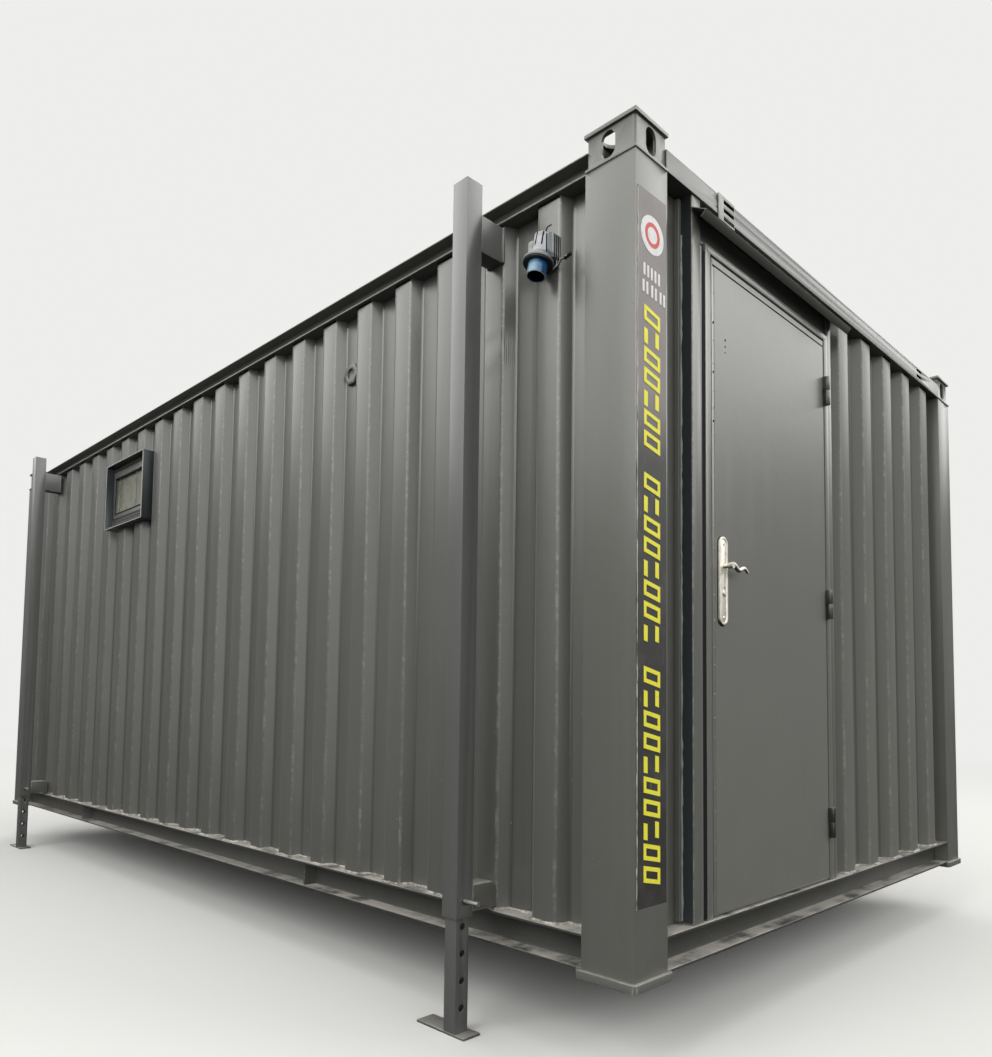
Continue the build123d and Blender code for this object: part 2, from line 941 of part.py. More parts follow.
# Brackets from the walls to the sleeves
bracket_start = sleeve_inset + sleeve_size
with BuildPart() as jack_upper_brackets:
    for sx, y in jack_spots:
        block(
            (side(sx, bracket_start), side(sx, crest_set)),
            (y, y + sleeve_size),
            (upper_bracket_bottom, upper_bracket_top),
        )
        block(
            (side(sx, crest_set - bracket_plate), side(sx, crest_set)),
            (y - bracket_plate_lip, y + sleeve_size + bracket_plate_lip),
            (upper_bracket_bottom, upper_bracket_top),
        )
save(jack_upper_brackets.part, "jack_upper_brackets")

with BuildPart() as jack_lower_brackets:
    for sx, y in jack_spots:
        block(
            (side(sx, bracket_start), side(sx, crest_set)),
            (y, y + sleeve_size),
            (lower_bracket_bottom, lower_bracket_top),
        )
    top_edges = jack_lower_brackets.edges().filter_by(Axis.Y).group_by(Axis.Z)[-1]
    fillet(top_edges.filter_by(lambda edge: abs(edge.center().X) < width / 2), bracket_round)
save(jack_lower_brackets.part, "jack_lower_brackets")

# Power inlet, a ribbed box with a barrel that flares into a bell, all tilted outwards
inlet_tip = Plane(
    origin=(left + inlet_x, front + inlet_y, base + inlet_z),
    x_dir=(0, 1, 0),
    z_dir=Vector(0, 0, 1).rotate(Axis.Y, inlet_tilt),
)
inlet_back = left + crest_set
inlet_near = front + inlet_y - inlet_box_width / 2
inlet_far = front + inlet_y + inlet_box_width / 2
with BuildPart() as inlet_housing:
    block((left - inlet_box_out, inlet_back), (inlet_near, inlet_far), (inlet_box_bottom, inlet_box_top))
    rounded = inlet_housing.edges().filter_by(Axis.Y).group_by(Axis.X)[0].sort_by(Axis.Z)[-1]
    fillet(rounded, inlet_box_round)
    for index in range(inlet_rib_count):
        rib_x = left - inlet_box_out / 2 + 2 * index * inlet_rib
        block(
            (rib_x, rib_x + inlet_rib),
            (inlet_near - inlet_rib_out, inlet_near),
            (inlet_box_bottom, inlet_box_top),
        )
    with BuildSketch(Plane(origin=inlet_tip.origin, x_dir=inlet_tip.x_dir, z_dir=-inlet_tip.y_dir)):
        with BuildLine():
            Polyline(
                (0, 0),
                (bell_radius, 0),
                (bell_radius, bell_rim),
                (barrel_radius, bell_height),
                (barrel_radius, barrel_top - barrel_edge),
                (barrel_radius - barrel_edge, barrel_top),
                (0, barrel_top),
                close=True,
            )
        make_face()
    revolve(axis=Axis(inlet_tip.origin, inlet_tip.z_dir))
    with BuildSketch(inlet_tip.offset(barrel_top - barrel_edge - barrel_groove_length)):
        with PolarLocations(barrel_radius, barrel_groove_count):
            Rectangle(barrel_groove, barrel_groove)
    extrude(amount=barrel_groove_length, mode=Mode.SUBTRACT)
    block(
        (inlet_back, inlet_back + bell_radius),
        (inlet_near - bell_radius, inlet_far + bell_radius),
        (inlet_z - bell_radius, inlet_box_top + bell_radius),
        mode=Mode.SUBTRACT,
    )
save(inlet_housing.part, "inlet_housing")

with BuildPart() as inlet_plate:
    with BuildSketch(inlet_tip):
        Circle(inlet_plate_radius)
    extrude(amount=-inlet_plate_thickness)
save(inlet_plate.part, "inlet_plate")

shroud_plane = inlet_tip.offset(-inlet_plate_thickness)
with BuildPart() as inlet_shroud:
    with BuildSketch(shroud_plane):
        Circle(shroud_radius)
        Circle(shroud_radius - shroud_wall, mode=Mode.SUBTRACT)
    extrude(amount=-shroud_length)
save(inlet_shroud.part, "inlet_shroud")

with BuildPart() as inlet_core:
    with BuildSketch(shroud_plane):
        Circle(shroud_radius - shroud_wall)
    extrude(amount=-core_thickness)
save(inlet_core.part, "inlet_core")

# Wire catch hanging from a lug on the box
lug_y, lug_z, lug_x = catch_lug
with BuildPart() as inlet_catch:
    lug_bottom = inlet_box_bottom + inlet_rib
    block(
        (inlet_back - lug_x, inlet_back),
        (inlet_near - inlet_rib_out - lug_y, inlet_near - inlet_rib_out),
        (lug_bottom, lug_bottom + lug_z),
    )
    hook_y = inlet_near - inlet_rib_out - lug_y / 2
    hook_z = base + lug_bottom + catch_wire
    with BuildSketch(Plane.YZ.offset(left + catch_x)):
        with BuildLine():
            FilletPolyline(
                (hook_y, hook_z),
                (hook_y - catch_wire, hook_z - catch_drop),
                (hook_y - catch_wire - catch_run, hook_z - catch_drop + catch_rise),
                radius=2 * catch_wire,
            )
        trace(line_width=catch_wire)
        with Locations((hook_y - catch_wire - catch_run, hook_z - catch_drop + catch_rise)):
            Rectangle(*catch_clip, rotation=catch_rise)
    extrude(amount=catch_wire)
save(inlet_catch.part, "inlet_catch")

# Vent boss
with BuildPart() as vent_boss:
    with BuildSketch(Plane.YZ.offset(left + valley_set)):
        with Locations((front + boss_y, base + boss_z)):
            RegularPolygon(boss_across / 2, 6, major_radius=False)
    extrude(amount=-boss_thickness)
    with BuildSketch(Plane.YZ.offset(left + valley_set - boss_thickness)):
        with Locations((front + boss_y, base + boss_z)):
            Circle(boss_bore)
    extrude(amount=boss_bore_depth, mode=Mode.SUBTRACT)
save(vent_boss.part, "vent_boss")
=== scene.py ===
"""Looks of a grey steel site cabin on four jack legs."""
import math

import bmesh
import bpy
from mathutils import Matrix, Vector, noise


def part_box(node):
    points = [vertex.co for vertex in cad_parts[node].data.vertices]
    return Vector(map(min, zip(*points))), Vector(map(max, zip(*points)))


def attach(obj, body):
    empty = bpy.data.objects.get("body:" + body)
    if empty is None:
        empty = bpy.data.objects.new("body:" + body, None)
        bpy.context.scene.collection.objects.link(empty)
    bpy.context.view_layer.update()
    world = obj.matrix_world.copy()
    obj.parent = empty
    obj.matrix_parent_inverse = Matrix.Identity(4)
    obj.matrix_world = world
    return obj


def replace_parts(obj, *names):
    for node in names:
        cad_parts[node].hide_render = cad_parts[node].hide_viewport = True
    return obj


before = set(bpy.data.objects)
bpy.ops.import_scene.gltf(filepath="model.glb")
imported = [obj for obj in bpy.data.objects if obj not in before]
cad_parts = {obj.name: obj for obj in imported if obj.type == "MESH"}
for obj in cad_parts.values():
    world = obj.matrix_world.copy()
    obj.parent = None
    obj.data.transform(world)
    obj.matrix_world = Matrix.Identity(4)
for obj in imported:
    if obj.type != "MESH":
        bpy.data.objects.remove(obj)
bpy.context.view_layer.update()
noise.seed_set(7)

# Cabin, whose sizes and places are told in metres from its left front bottom corner
post_low, post_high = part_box("corner_posts")
LEFT = post_low.x
FRONT = post_low.y
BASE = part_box("corner_base_plates")[0].z
WIDTH = post_high.x - post_low.x
LENGTH = post_high.y - post_low.y


def place(x, y, z):
    """A point told from the left front bottom corner of the cabin."""
    return Vector((LEFT + x, FRONT + y, BASE + z))


def corners_of(node):
    """The lowest and highest corners of a CAD node, told from the same corner."""
    return [corner - place(0, 0, 0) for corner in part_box(node)]


# Ribbed walls
side_low, side_high = corners_of("left_wall")
end_high = corners_of("front_wall_right")[1]
SILL = side_low.z
RAIL = side_high.z
HEADER = end_high.z
POST_X = WIDTH - end_high.x
POST_Y = side_low.y
CREST_SET = side_low.x
VALLEY_SET = 0.060
CREST_WIDTH = 0.090
CREST_SLOPE = 0.020
SIDE_FIRST = 0.112
SIDE_PITCH = 0.2402
END_FIRST = 0.087
END_PITCH = 0.239

# Doorway
portal_low, portal_high = corners_of("door_portal")
PORTAL_LEFT = portal_low.x
PORTAL_RIGHT = portal_high.x
JAMB_FOLD = 0.0435

# Door
leaf_low, leaf_high = corners_of("door_leaf")
LEAF_LEFT = leaf_low.x
LEAF_RIGHT = leaf_high.x
LEAF_FACE = leaf_low.y
LEAF_BACK = leaf_high.y
LEAF_BOTTOM = leaf_low.z
LEAF_TOP = leaf_high.z
HANDLE_X = 0.475
HANDLE_Z = 1.149
LEVER_Z = HANDLE_Z + 0.045


# Camera
PHOTO_WIDTH = 992
PHOTO_HEIGHT = 1057
SENSOR = 36.0
FOCAL_PIXELS = 824.1
CENTRE = (500.0, 653.9)
EYE = place(-1.8251, -1.3004, 0.7490)
YAW = 0.7893
PITCH = 0.06377
ROLL = 0.01222


def make_camera():
    """Camera at the photograph's place, with its shift."""
    ahead = Vector((math.sin(YAW) * math.cos(PITCH), math.cos(YAW) * math.cos(PITCH), math.sin(PITCH)))
    level = Vector((math.cos(YAW), -math.sin(YAW), 0))
    lift = level.cross(ahead)
    right = math.cos(ROLL) * level + math.sin(ROLL) * lift
    up = math.cos(ROLL) * lift - math.sin(ROLL) * level
    data = bpy.data.cameras.new("camera")
    data.sensor_fit = "VERTICAL"
    data.sensor_height = SENSOR
    data.lens = FOCAL_PIXELS * SENSOR / PHOTO_HEIGHT
    data.shift_x = (PHOTO_WIDTH / 2 - CENTRE[0]) / PHOTO_HEIGHT
    data.shift_y = (CENTRE[1] - PHOTO_HEIGHT / 2) / PHOTO_HEIGHT
    data.clip_end = 200
    camera = bpy.data.objects.new("camera", data)
    turn = Matrix((right, up, -ahead)).transposed().to_4x4()
    camera.matrix_world = Matrix.Translation(EYE) @ turn
    bpy.context.scene.collection.objects.link(camera)
    bpy.context.scene.camera = camera


# Materials made of nodes
class Value:
    """A shader socket that takes part in sums."""

    def __init__(self, finish, socket):
        self.finish = finish
        self.socket = socket

    def maths(self, operation, first, second=0.0):
        return self.finish.node("ShaderNodeMath", {"operation": operation}, {0: first, 1: second})

    def __add__(self, other):
        return self.maths("ADD", self, other)

    def __radd__(self, other):
        return self.maths("ADD", other, self)

    def __sub__(self, other):
        return self.maths("SUBTRACT", self, other)

    def __rsub__(self, other):
        return self.maths("SUBTRACT", other, self)

    def __mul__(self, other):
        return self.maths("MULTIPLY", self, other)

    def over(self, low, high):
        """0 below low, 1 above high, smooth between."""
        settings = {"interpolation_type": "SMOOTHSTEP"}
        return self.finish.node("ShaderNodeMapRange", settings, {0: self, 1: low, 2: high, 3: 0.0, 4: 1.0})

    def under(self, low, high):
        """1 below low, 0 above high, smooth between."""
        return 1 - self.over(low, high)


class Finish:
    """One material and its nodes."""

    def __init__(self, name):
        self.material = bpy.data.materials.new(name)
        self.material.use_nodes = True
        self.tree = self.material.node_tree
        self.shader = self.tree.nodes["Principled BSDF"]
        self.spot = self.node("ShaderNodeTexCoord", {}, {}, "Object")

    def node(self, kind, settings, sockets, output=0):
        """A node with its settings and the values or links of its sockets."""
        made = self.tree.nodes.new(kind)
        for key, setting in settings.items():
            setattr(made, key, setting)
        for key, value in sockets.items():
            self.feed(made.inputs[key], value)
        return Value(self, made.outputs[output])

    def feed(self, socket, value):
        """A value or a link into a socket."""
        if isinstance(value, Value):
            self.tree.links.new(value.socket, socket)
        else:
            socket.default_value = value

    def set(self, **sockets):
        """Sockets of the shader, with _ for a space."""
        for key, value in sockets.items():
            self.feed(self.shader.inputs[key.replace("_", " ")], value)

    def stretch(self, scale, turn=(0.0, 0.0, 0.0)):
        """The place on the piece, stretched."""
        return self.node("ShaderNodeMapping", {}, {0: self.spot, 2: turn, 3: scale})

    def grain(self, scale, detail=3.0, roughness=0.55, at=None):
        """Noise of that many waves a metre."""
        sockets = {"Vector": at or self.spot, "Scale": scale, "Detail": detail, "Roughness": roughness}
        return self.node("ShaderNodeTexNoise", {}, sockets)

    def dots(self, scale, radius):
        """Round dots of that radius about scattered points, in cells."""
        near = self.node("ShaderNodeTexVoronoi", {}, {"Vector": self.spot, "Scale": scale})
        return near.under(radius, radius * 1.5)

    def axis(self, index):
        """One coordinate of the place on the piece."""
        return self.node("ShaderNodeSeparateXYZ", {}, {0: self.spot}, index)

    def facing(self, index):
        """One coordinate of the way that the surface faces."""
        normal = self.node("ShaderNodeNewGeometry", {}, {}, "Normal")
        return self.node("ShaderNodeSeparateXYZ", {}, {0: normal}, index)

    def measure(self, operation, *vectors):
        """A number from vectors, such as a distance or a dot product."""
        return self.node("ShaderNodeVectorMath", {"operation": operation}, dict(enumerate(vectors)), "Value")

    def near(self, spot, radius):
        """1 at a spot, fading to 0 at a radius."""
        return self.measure("DISTANCE", self.spot, spot).under(radius * 0.3, radius)

    def ray(self, kind):
        """1 for rays of one kind, such as those from the camera."""
        return self.node("ShaderNodeLightPath", {}, {}, f"Is {kind} Ray")

    def mix(self, factor, first, second):
        """One colour turning into another."""
        sockets = {"Factor": factor, 6: first, 7: second}
        return self.node("ShaderNodeMix", {"data_type": "RGBA"}, sockets, 2)

    def mark(self, name):
        """A mask stored on the piece."""
        return self.node("ShaderNodeAttribute", {"attribute_name": name}, {}, "Fac")

    def bump(self, height, distance, strength):
        """A normal from a height in metres."""
        sockets = {"Height": height, "Distance": distance, "Strength": strength}
        return self.node("ShaderNodeBump", {}, sockets)


def grey(level, tint=(1.0, 1.0, 1.0)):
    """A colour from a screen level of 0 to 255 and a tint."""
    share = level / 255
    linear = share / 12.92 if share < 0.04045 else ((share + 0.055) / 1.055) ** 2.4
    return (linear * tint[0], linear * tint[1], linear * tint[2], 1.0)


# Tints, and the places of marks on the paint and of the inlet
PAINT = (0.99, 1.0, 0.90)
# The jacks' tint is a painted reflection of the dim side's colour.
JACK_REFLECTED_TINT = (0.97, 1.0, 0.95)
COOL = (0.93, 1.0, 1.05)
WARM = (1.05, 1.0, 0.90)
DENT = place(CREST_SET, 0.586, 1.906)
INLET_TIP = place(-0.038, 0.330, 2.088)
INLET_TURN = Matrix.Rotation(math.radians(13), 4, "Y")
INLET_AXIS = INLET_TURN @ Vector((0.0, 0.0, 1.0))


def painted_steel(
    name, low, high, edge_wear_and_highlight=0.5, streaks=0.5, specks=0.0, tint=PAINT, dent=None, dust=0.5, gloss=0.6
):
    """Satin grey paint with drips, pits, flecks and dust, painted light and shade by height, painted shade
    on faces turned down and in creases, and worn edges painted paler, partly as painted highlights.
    """
    paint = Finish(name)
    height = paint.axis(2)
    cloud = paint.grain(1.1, 4.0)
    mottle = paint.grain(9.0, 5.0, 0.6)
    runs = paint.grain(1.0, 4.0, 0.6, paint.stretch((24.0, 24.0, 0.7)))
    roller = paint.grain(150.0, 3.0, 0.6)
    # Painted light and shade: the grey runs from the low to the high level up the cabin, standing in for how
    # the light on each part changes with height.
    height_shading = height.over(BASE - 0.15, BASE + 2.1)
    colour = paint.mix(height_shading, grey(low, tint), grey(high, tint))
    colour = paint.mix(cloud.over(0.38, 0.72) * 0.16, colour, grey(high + 24, tint))
    colour = paint.mix(runs.over(0.52, 0.74) * streaks * 0.3, colour, grey(high + 16, WARM))
    colour = paint.mix(runs.under(0.28, 0.42) * streaks * 0.35, colour, grey(low - 18, tint))
    colour = paint.mix(roller.under(0.36, 0.5) * 0.12, colour, grey(low - 14, tint))
    splash = height.under(BASE + 0.02, BASE + 0.7) * mottle.over(0.42, 0.66)
    colour = paint.mix(splash * 0.22, colour, grey(low - 14, WARM))
    pits = paint.dots(24.0, 0.035) * mottle.over(0.44, 0.52)
    colour = paint.mix(pits * 0.75, colour, grey(low - 34, tint))
    scuffs = paint.grain(1.0, 3.0, 0.6, paint.stretch((80.0, 80.0, 16.0), (0.4, 0.3, 0.0)))
    scuff = scuffs.over(0.70, 0.76) * cloud.over(0.45, 0.6)
    colour = paint.mix(scuff * 0.25, colour, grey(high + 34, WARM))
    if specks:
        flecks = paint.dots(15.0, 0.028) * height.under(BASE + 0.15, BASE + 1.0) * mottle.over(0.42, 0.5)
        colour = paint.mix(flecks * specks, colour, grey(215, WARM))
    lying = paint.facing(2).over(0.55, 0.9) * mottle.over(0.30, 0.58)
    colour = paint.mix(lying * dust, colour, grey(178, WARM))
    # Painted shade: faces turned down are painted darker.
    colour = paint.mix(paint.facing(2).under(-0.9, -0.35) * 0.6, colour, grey(low - 60, tint))
    # Painted shade: inner corners and creases, from the corner mask, are painted darker.
    colour = paint.mix(paint.mark("corner") * 0.5, colour, grey(low - 40, tint))
    # Worn edges, painted paler also as painted highlights along the rounded edges.
    edge = paint.mark("edge") * paint.grain(38.0, 4.0, 0.7).over(0.56 - 0.3 * edge_wear_and_highlight, 0.70)
    colour = paint.mix(edge * edge_wear_and_highlight, colour, grey(high + 60, WARM))
    relief = mottle * 0.9 + roller * 0.35 + paint.grain(520.0, 2.0) * 0.12 - pits * 0.8
    if dent:
        ripple = {"bands_direction": "DIAGONAL", "wave_profile": "SIN"}
        waves = paint.node("ShaderNodeTexWave", ripple, {"Scale": 9.0, "Distortion": 3.0, "Detail": 1.0})
        relief = relief + waves * paint.near(dent, 0.11) * 2.0
    paint.set(
        Base_Color=colour,
        Roughness=0.26 + cloud * 0.08 + runs.over(0.5, 0.75) * 0.06 + edge * 0.15,
        Normal=paint.bump(relief, 0.0012, 0.5),
        Specular_IOR_Level=gloss,
    )
    return paint.material


def bare_metal(name, level, tint, roughness, metallic=0.85, underside_shade=0.0):
    """Plated metal with fine brushing and small stains, and painted shade on what faces down."""
    metal = Finish(name)
    brush = metal.grain(1.0, 3.0, 0.6, metal.stretch((900.0, 900.0, 60.0)))
    stain = metal.grain(45.0, 4.0, 0.6)
    colour = metal.mix(stain.over(0.45, 0.8), grey(level, tint), grey(level - 55, WARM))
    metal.set(
        # Painted shade: faces turned down are painted darker.
        Base_Color=metal.mix(metal.facing(2).under(-0.75, -0.05) * underside_shade, colour, grey(26, WARM)),
        Metallic=metallic,
        Roughness=roughness + stain * 0.2 + brush * 0.06,
        Normal=metal.bump(brush + stain * 0.4, 0.0003, 0.4),
    )
    return metal.material


def moulded(name, colour, darker, roughness, bell=None):
    """Plastic with a moulded grain and dust, and a colour of its own on the inlet's bell."""
    plastic = Finish(name)
    grain = plastic.grain(260.0, 3.0)
    dust = plastic.grain(30.0, 4.0, 0.65)
    skin = plastic.mix(dust.over(0.38, 0.7), colour, darker)
    if bell:
        along = plastic.measure("DOT_PRODUCT", plastic.spot, INLET_AXIS)
        mouth = (along - INLET_TIP.dot(INLET_AXIS)).under(0.028, 0.035)
        skin = plastic.mix(mouth, skin, bell)
    plastic.set(
        Base_Color=skin,
        Roughness=roughness + dust * 0.2,
        Normal=plastic.bump(grain + dust * 0.3, 0.0003, 0.4),
    )
    return plastic.material


def blue_with_painted_sheen(name):
    """Glossy blue plastic, painted paler on the side that faces out from the wall as a painted reflection of
    the sky.
    """
    plastic = Finish(name)
    dust = plastic.grain(40.0, 4.0, 0.6)
    # Painted reflection: faces turned out from the wall are painted a paler blue.
    out = plastic.facing(0).under(-0.95, -0.45)
    colour = plastic.mix(dust.over(0.4, 0.7), (0.020, 0.12, 0.30, 1.0), (0.016, 0.075, 0.19, 1.0))
    plastic.set(
        Base_Color=plastic.mix(out * 0.75, colour, (0.24, 0.42, 0.54, 1.0)),
        Roughness=0.2 + dust * 0.1,
        Normal=plastic.bump(dust, 0.0002, 0.3),
    )
    return plastic.material


def old_sealant(name):
    """Smeared white sealant, grey with dirt in its hollows."""
    putty = Finish(name)
    smear = putty.grain(30.0, 5.0, 0.65)
    lumps = putty.grain(140.0, 3.0, 0.6)
    colour = putty.mix(smear.over(0.36, 0.62), grey(120, WARM), grey(196, WARM))
    putty.set(
        Base_Color=putty.mix(lumps.under(0.3, 0.5) * 0.5, colour, grey(80, WARM)),
        Roughness=0.75,
        Normal=putty.bump(lumps + smear, 0.002, 0.7),
    )
    return putty.material


def worn_vinyl(name, low, high):
    """Dark vinyl, scuffed, and painted paler towards its top as a painted reflection of the bright sky."""
    film = Finish(name)
    height = film.axis(2)
    scuff = film.grain(1.0, 4.0, 0.65, film.stretch((60.0, 60.0, 14.0)))
    smear = film.grain(7.0, 4.0, 0.6)
    # Painted reflection: the vinyl turns paler above a height, where the sky's reflection falls on it.
    sky_sheen_band = height.over(BASE + 1.42, BASE + 1.66)
    colour = film.mix(sky_sheen_band, grey(low, (1.05, 0.98, 0.96)), grey(high, (1.08, 0.97, 0.93)))
    colour = film.mix(scuff.over(0.62, 0.74) * 0.3, colour, grey(high + 10, WARM))
    colour = film.mix(smear.over(0.5, 0.75) * 0.25, colour, grey(high - 20, WARM))
    film.set(
        Base_Color=colour,
        Roughness=0.5 + smear * 0.2,
        Normal=film.bump(scuff * 0.5 + smear * 0.6, 0.0012, 0.4),
    )
    return film.material


def printed(name, colour, worn):
    """Printed vinyl with its colour worn in patches."""
    ink = Finish(name)
    rub = ink.grain(60.0, 5.0, 0.7)
    ink.set(
        Base_Color=ink.mix(rub.over(0.55, 0.75) * 0.6, colour, worn),
        Roughness=0.5 + rub * 0.15,
        Normal=ink.bump(rub, 0.0002, 0.3),
    )
    return ink.material


def black_and_painted_shade(name):
    """Dull black for black parts such as the clip and wire, and for painted shade in deep gaps, grooves,
    holes and the inlet's mouth, with a little dust.
    """
    seal = Finish(name)
    dust = seal.grain(40.0, 4.0, 0.6)
    seal.set(
        Base_Color=seal.mix(dust.over(0.5, 0.8) * 0.5, grey(14), grey(34, WARM)),
        Roughness=0.8 + dust * 0.15,
        Normal=seal.bump(dust, 0.0003, 0.3),
        Specular_IOR_Level=0.15,
    )
    return seal.material


def plywood(name):
    """Dark phenolic-faced plywood with a faint grain."""
    wood = Finish(name)
    brown = (1.25, 0.95, 0.7)
    rings = wood.grain(1.0, 4.0, 0.6, wood.stretch((60.0, 3.0, 60.0)))
    scuff = wood.grain(8.0, 4.0)
    wood.set(
        Base_Color=wood.mix(rings.over(0.35, 0.7), grey(96, brown), grey(66, brown)),
        Roughness=0.45 + scuff * 0.3,
        Normal=wood.bump(rings, 0.0004, 0.5),
    )
    return wood.material


def window_pane(name):
    """A pane clouded by dust, paler low down."""
    pane = Finish(name)
    dust = pane.grain(9.0, 5.0, 0.65)
    height = pane.axis(2)
    low = height.under(BASE + 1.86, BASE + 2.06)
    colour = pane.mix(dust.over(0.3, 0.75), grey(120, (1.0, 1.0, 0.80)), grey(138, (1.0, 1.0, 0.80)))
    pane.set(
        Base_Color=pane.mix(low * 0.6, colour, grey(164, (1.0, 1.0, 0.84))),
        Roughness=0.16 + dust * 0.25,
        Alpha=0.88 + dust * 0.1,
        Normal=pane.bump(dust, 0.0003, 0.3),
    )
    return pane.material


def merged(node):
    """A merged copy of a CAD node, with flat faces joined."""
    shape = bmesh.new()
    shape.from_mesh(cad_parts[node].data)
    bmesh.ops.remove_doubles(shape, verts=shape.verts, dist=1e-5)
    bmesh.ops.dissolve_limit(shape, angle_limit=0.02, verts=shape.verts, edges=shape.edges)
    return shape


def as_object(name, mesh, body, material):
    """An object at the origin that rides on its body."""
    mesh.materials.clear()
    mesh.materials.append(material)
    mesh.shade_smooth()
    mesh.set_sharp_from_angle(angle=math.radians(35))
    piece = bpy.data.objects.new(name, mesh)
    bpy.context.scene.collection.objects.link(piece)
    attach(piece, body)
    return piece


def finished(name, shape, body, material):
    """An object from a bmesh, with its faces turned outwards."""
    bmesh.ops.recalc_face_normals(shape, faces=shape.faces)
    mesh = bpy.data.meshes.new(name)
    shape.to_mesh(mesh)
    shape.free()
    return as_object(name, mesh, body, material)


def soften(node, body, material, radius, segments=2, upright_only=False):
    """A copy of a CAD node with rounded edges and corners, whose faces carry masks: the outer edges for worn
    paint and painted highlights, the inner corners for painted shade.
    """
    least_angle = math.radians(25)
    shape = merged(node)
    for mask in ("corner", "edge"):
        shape.faces.layers.float.new(mask)
    for mask, outward in (("corner", False), ("edge", True)):
        chosen = []
        for edge in shape.edges:
            if len(edge.link_faces) != 2 or edge.calc_face_angle(0.0) < least_angle:
                continue
            along = (edge.verts[0].co - edge.verts[1].co).normalized()
            if edge.is_convex != outward or (upright_only and abs(along.z) < 0.99):
                continue
            chosen.append(edge)
        made = bmesh.ops.bevel(
            shape, geom=chosen, offset=radius, segments=segments, profile=0.5, affect="EDGES",
            clamp_overlap=True, material=-1,
        )
        layer = shape.faces.layers.float[mask]
        for face in made["faces"]:
            face[layer] = 1.0
    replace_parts(finished(node + "_shell", shape, body, material), node)


def add_bar(shape, low, high, bevel, lean=0.0):
    """A bevelled bar between two corners, its right side lowered by lean."""
    middle = (low + high) / 2
    size = high - low
    spot = Matrix.Translation(middle) @ Matrix.Diagonal((*size, 1.0))
    made = bmesh.ops.create_cube(shape, size=1.0, matrix=spot)
    for vert in made["verts"]:
        vert.co.z -= lean * (vert.co.x - middle.x)
    edges = {edge for vert in made["verts"] for edge in vert.link_edges}
    bmesh.ops.bevel(
        shape, geom=list(edges), offset=bevel, segments=1, profile=0.5, affect="EDGES",
        clamp_overlap=True, material=-1,
    )


def add_band(shape, outer, inner, depth):
    """A flat band between two rings of points, standing out to the front by its depth."""
    edges = []
    for ring in (outer, inner):
        verts = [shape.verts.new(point) for point in ring]
        edges += [shape.edges.new((verts[index - 1], verts[index])) for index in range(len(verts))]
    band = bmesh.ops.bridge_loops(shape, edges=edges)["faces"]
    raised = bmesh.ops.extrude_face_region(shape, geom=band)
    moved = [item for item in raised["geom"] if isinstance(item, bmesh.types.BMVert)]
    bmesh.ops.translate(shape, verts=moved, vec=(0, -depth, 0))


def add_disc(shape, spot, facing, radius, depth, sides=32, tip=1.0):
    """A round boss that stands out from a spot by its depth."""
    turn = Vector(facing).to_track_quat("Z", "Y").to_matrix().to_4x4()
    bmesh.ops.create_cone(
        shape, cap_ends=True, segments=sides, radius1=radius, radius2=radius * tip, depth=depth,
        matrix=Matrix.Translation(spot + Vector(facing) * depth / 2) @ turn,
    )


def spread(points, step):
    """Points along a route, at most a step apart."""
    dense = [points[0]]
    for start, stop in zip(points, points[1:]):
        count = max(1, math.ceil((stop - start).length / step))
        dense += [start.lerp(stop, (index + 1) / count) for index in range(count)]
    return dense


def strand_mesh(name, points, radius, wobble=0.0, step=0.02, rings=2, taper=None):
    """A mesh of a round bead or wire along points, uneven by wobble and thinned by taper."""
    data = bpy.data.curves.new(name, "CURVE")
    data.dimensions = "3D"
    data.bevel_depth = radius
    data.bevel_resolution = rings
    data.use_fill_caps = True
    spline = data.splines.new("POLY")
    dense = spread(points, step)
    spline.points.add(len(dense) - 1)
    for index, (point, spot) in enumerate(zip(spline.points, dense)):
        drift = noise.noise_vector(spot * 31.0) * wobble * radius * 0.6
        point.co = (*(spot + drift), 1.0)
        swell = 1.0 + wobble * noise.noise(spot * 47.0) + 0.5 * wobble * noise.noise(spot * 11.0)
        point.radius = swell * (taper(index / (len(dense) - 1)) if taper else 1.0)
    holder = bpy.data.objects.new(name + "_line", data)
    mesh = bpy.data.meshes.new_from_object(holder)
    bpy.data.objects.remove(holder)
    return mesh


def strand(name, points, radius, material, **form):
    """A round bead or wire on the cabin."""
    return as_object(name, strand_mesh(name, points, radius, **form), "cabin", material)


def rib_crests(start, stop, first, pitch):
    """The places where the crests of a ribbed wall begin."""
    crests = []
    crest = start + first
    while crest + CREST_WIDTH + CREST_SLOPE < stop:
        crests.append(crest)
        crest += pitch
    return crests


SIDE_CRESTS = rib_crests(POST_Y, LENGTH - POST_Y, SIDE_FIRST, SIDE_PITCH)
FRONT_CRESTS = rib_crests(PORTAL_RIGHT, WIDTH - POST_X, END_FIRST, END_PITCH)


def wall_foot(start, stop, crests, out):
    """Places along a ribbed wall's foot, as pairs of place and depth."""
    path = [(start, VALLEY_SET)]
    for crest in crests:
        path += [(crest - CREST_SLOPE, VALLEY_SET), (crest, CREST_SET)]
        path += [(crest + CREST_WIDTH, CREST_SET), (crest + CREST_WIDTH + CREST_SLOPE, VALLEY_SET)]
    path.append((stop, VALLEY_SET))
    return [(along, depth - out) for along, depth in path]


SIDE_BEAD = 0.0050
FRONT_BEAD = 0.0045
JAMB_BEAD = 0.0032
BEAD_RISE = 0.0015
FRONT_BEAD_OUT = 0.003
FILLER_SET = 0.0022
FILLER_TOP = HEADER - 0.12


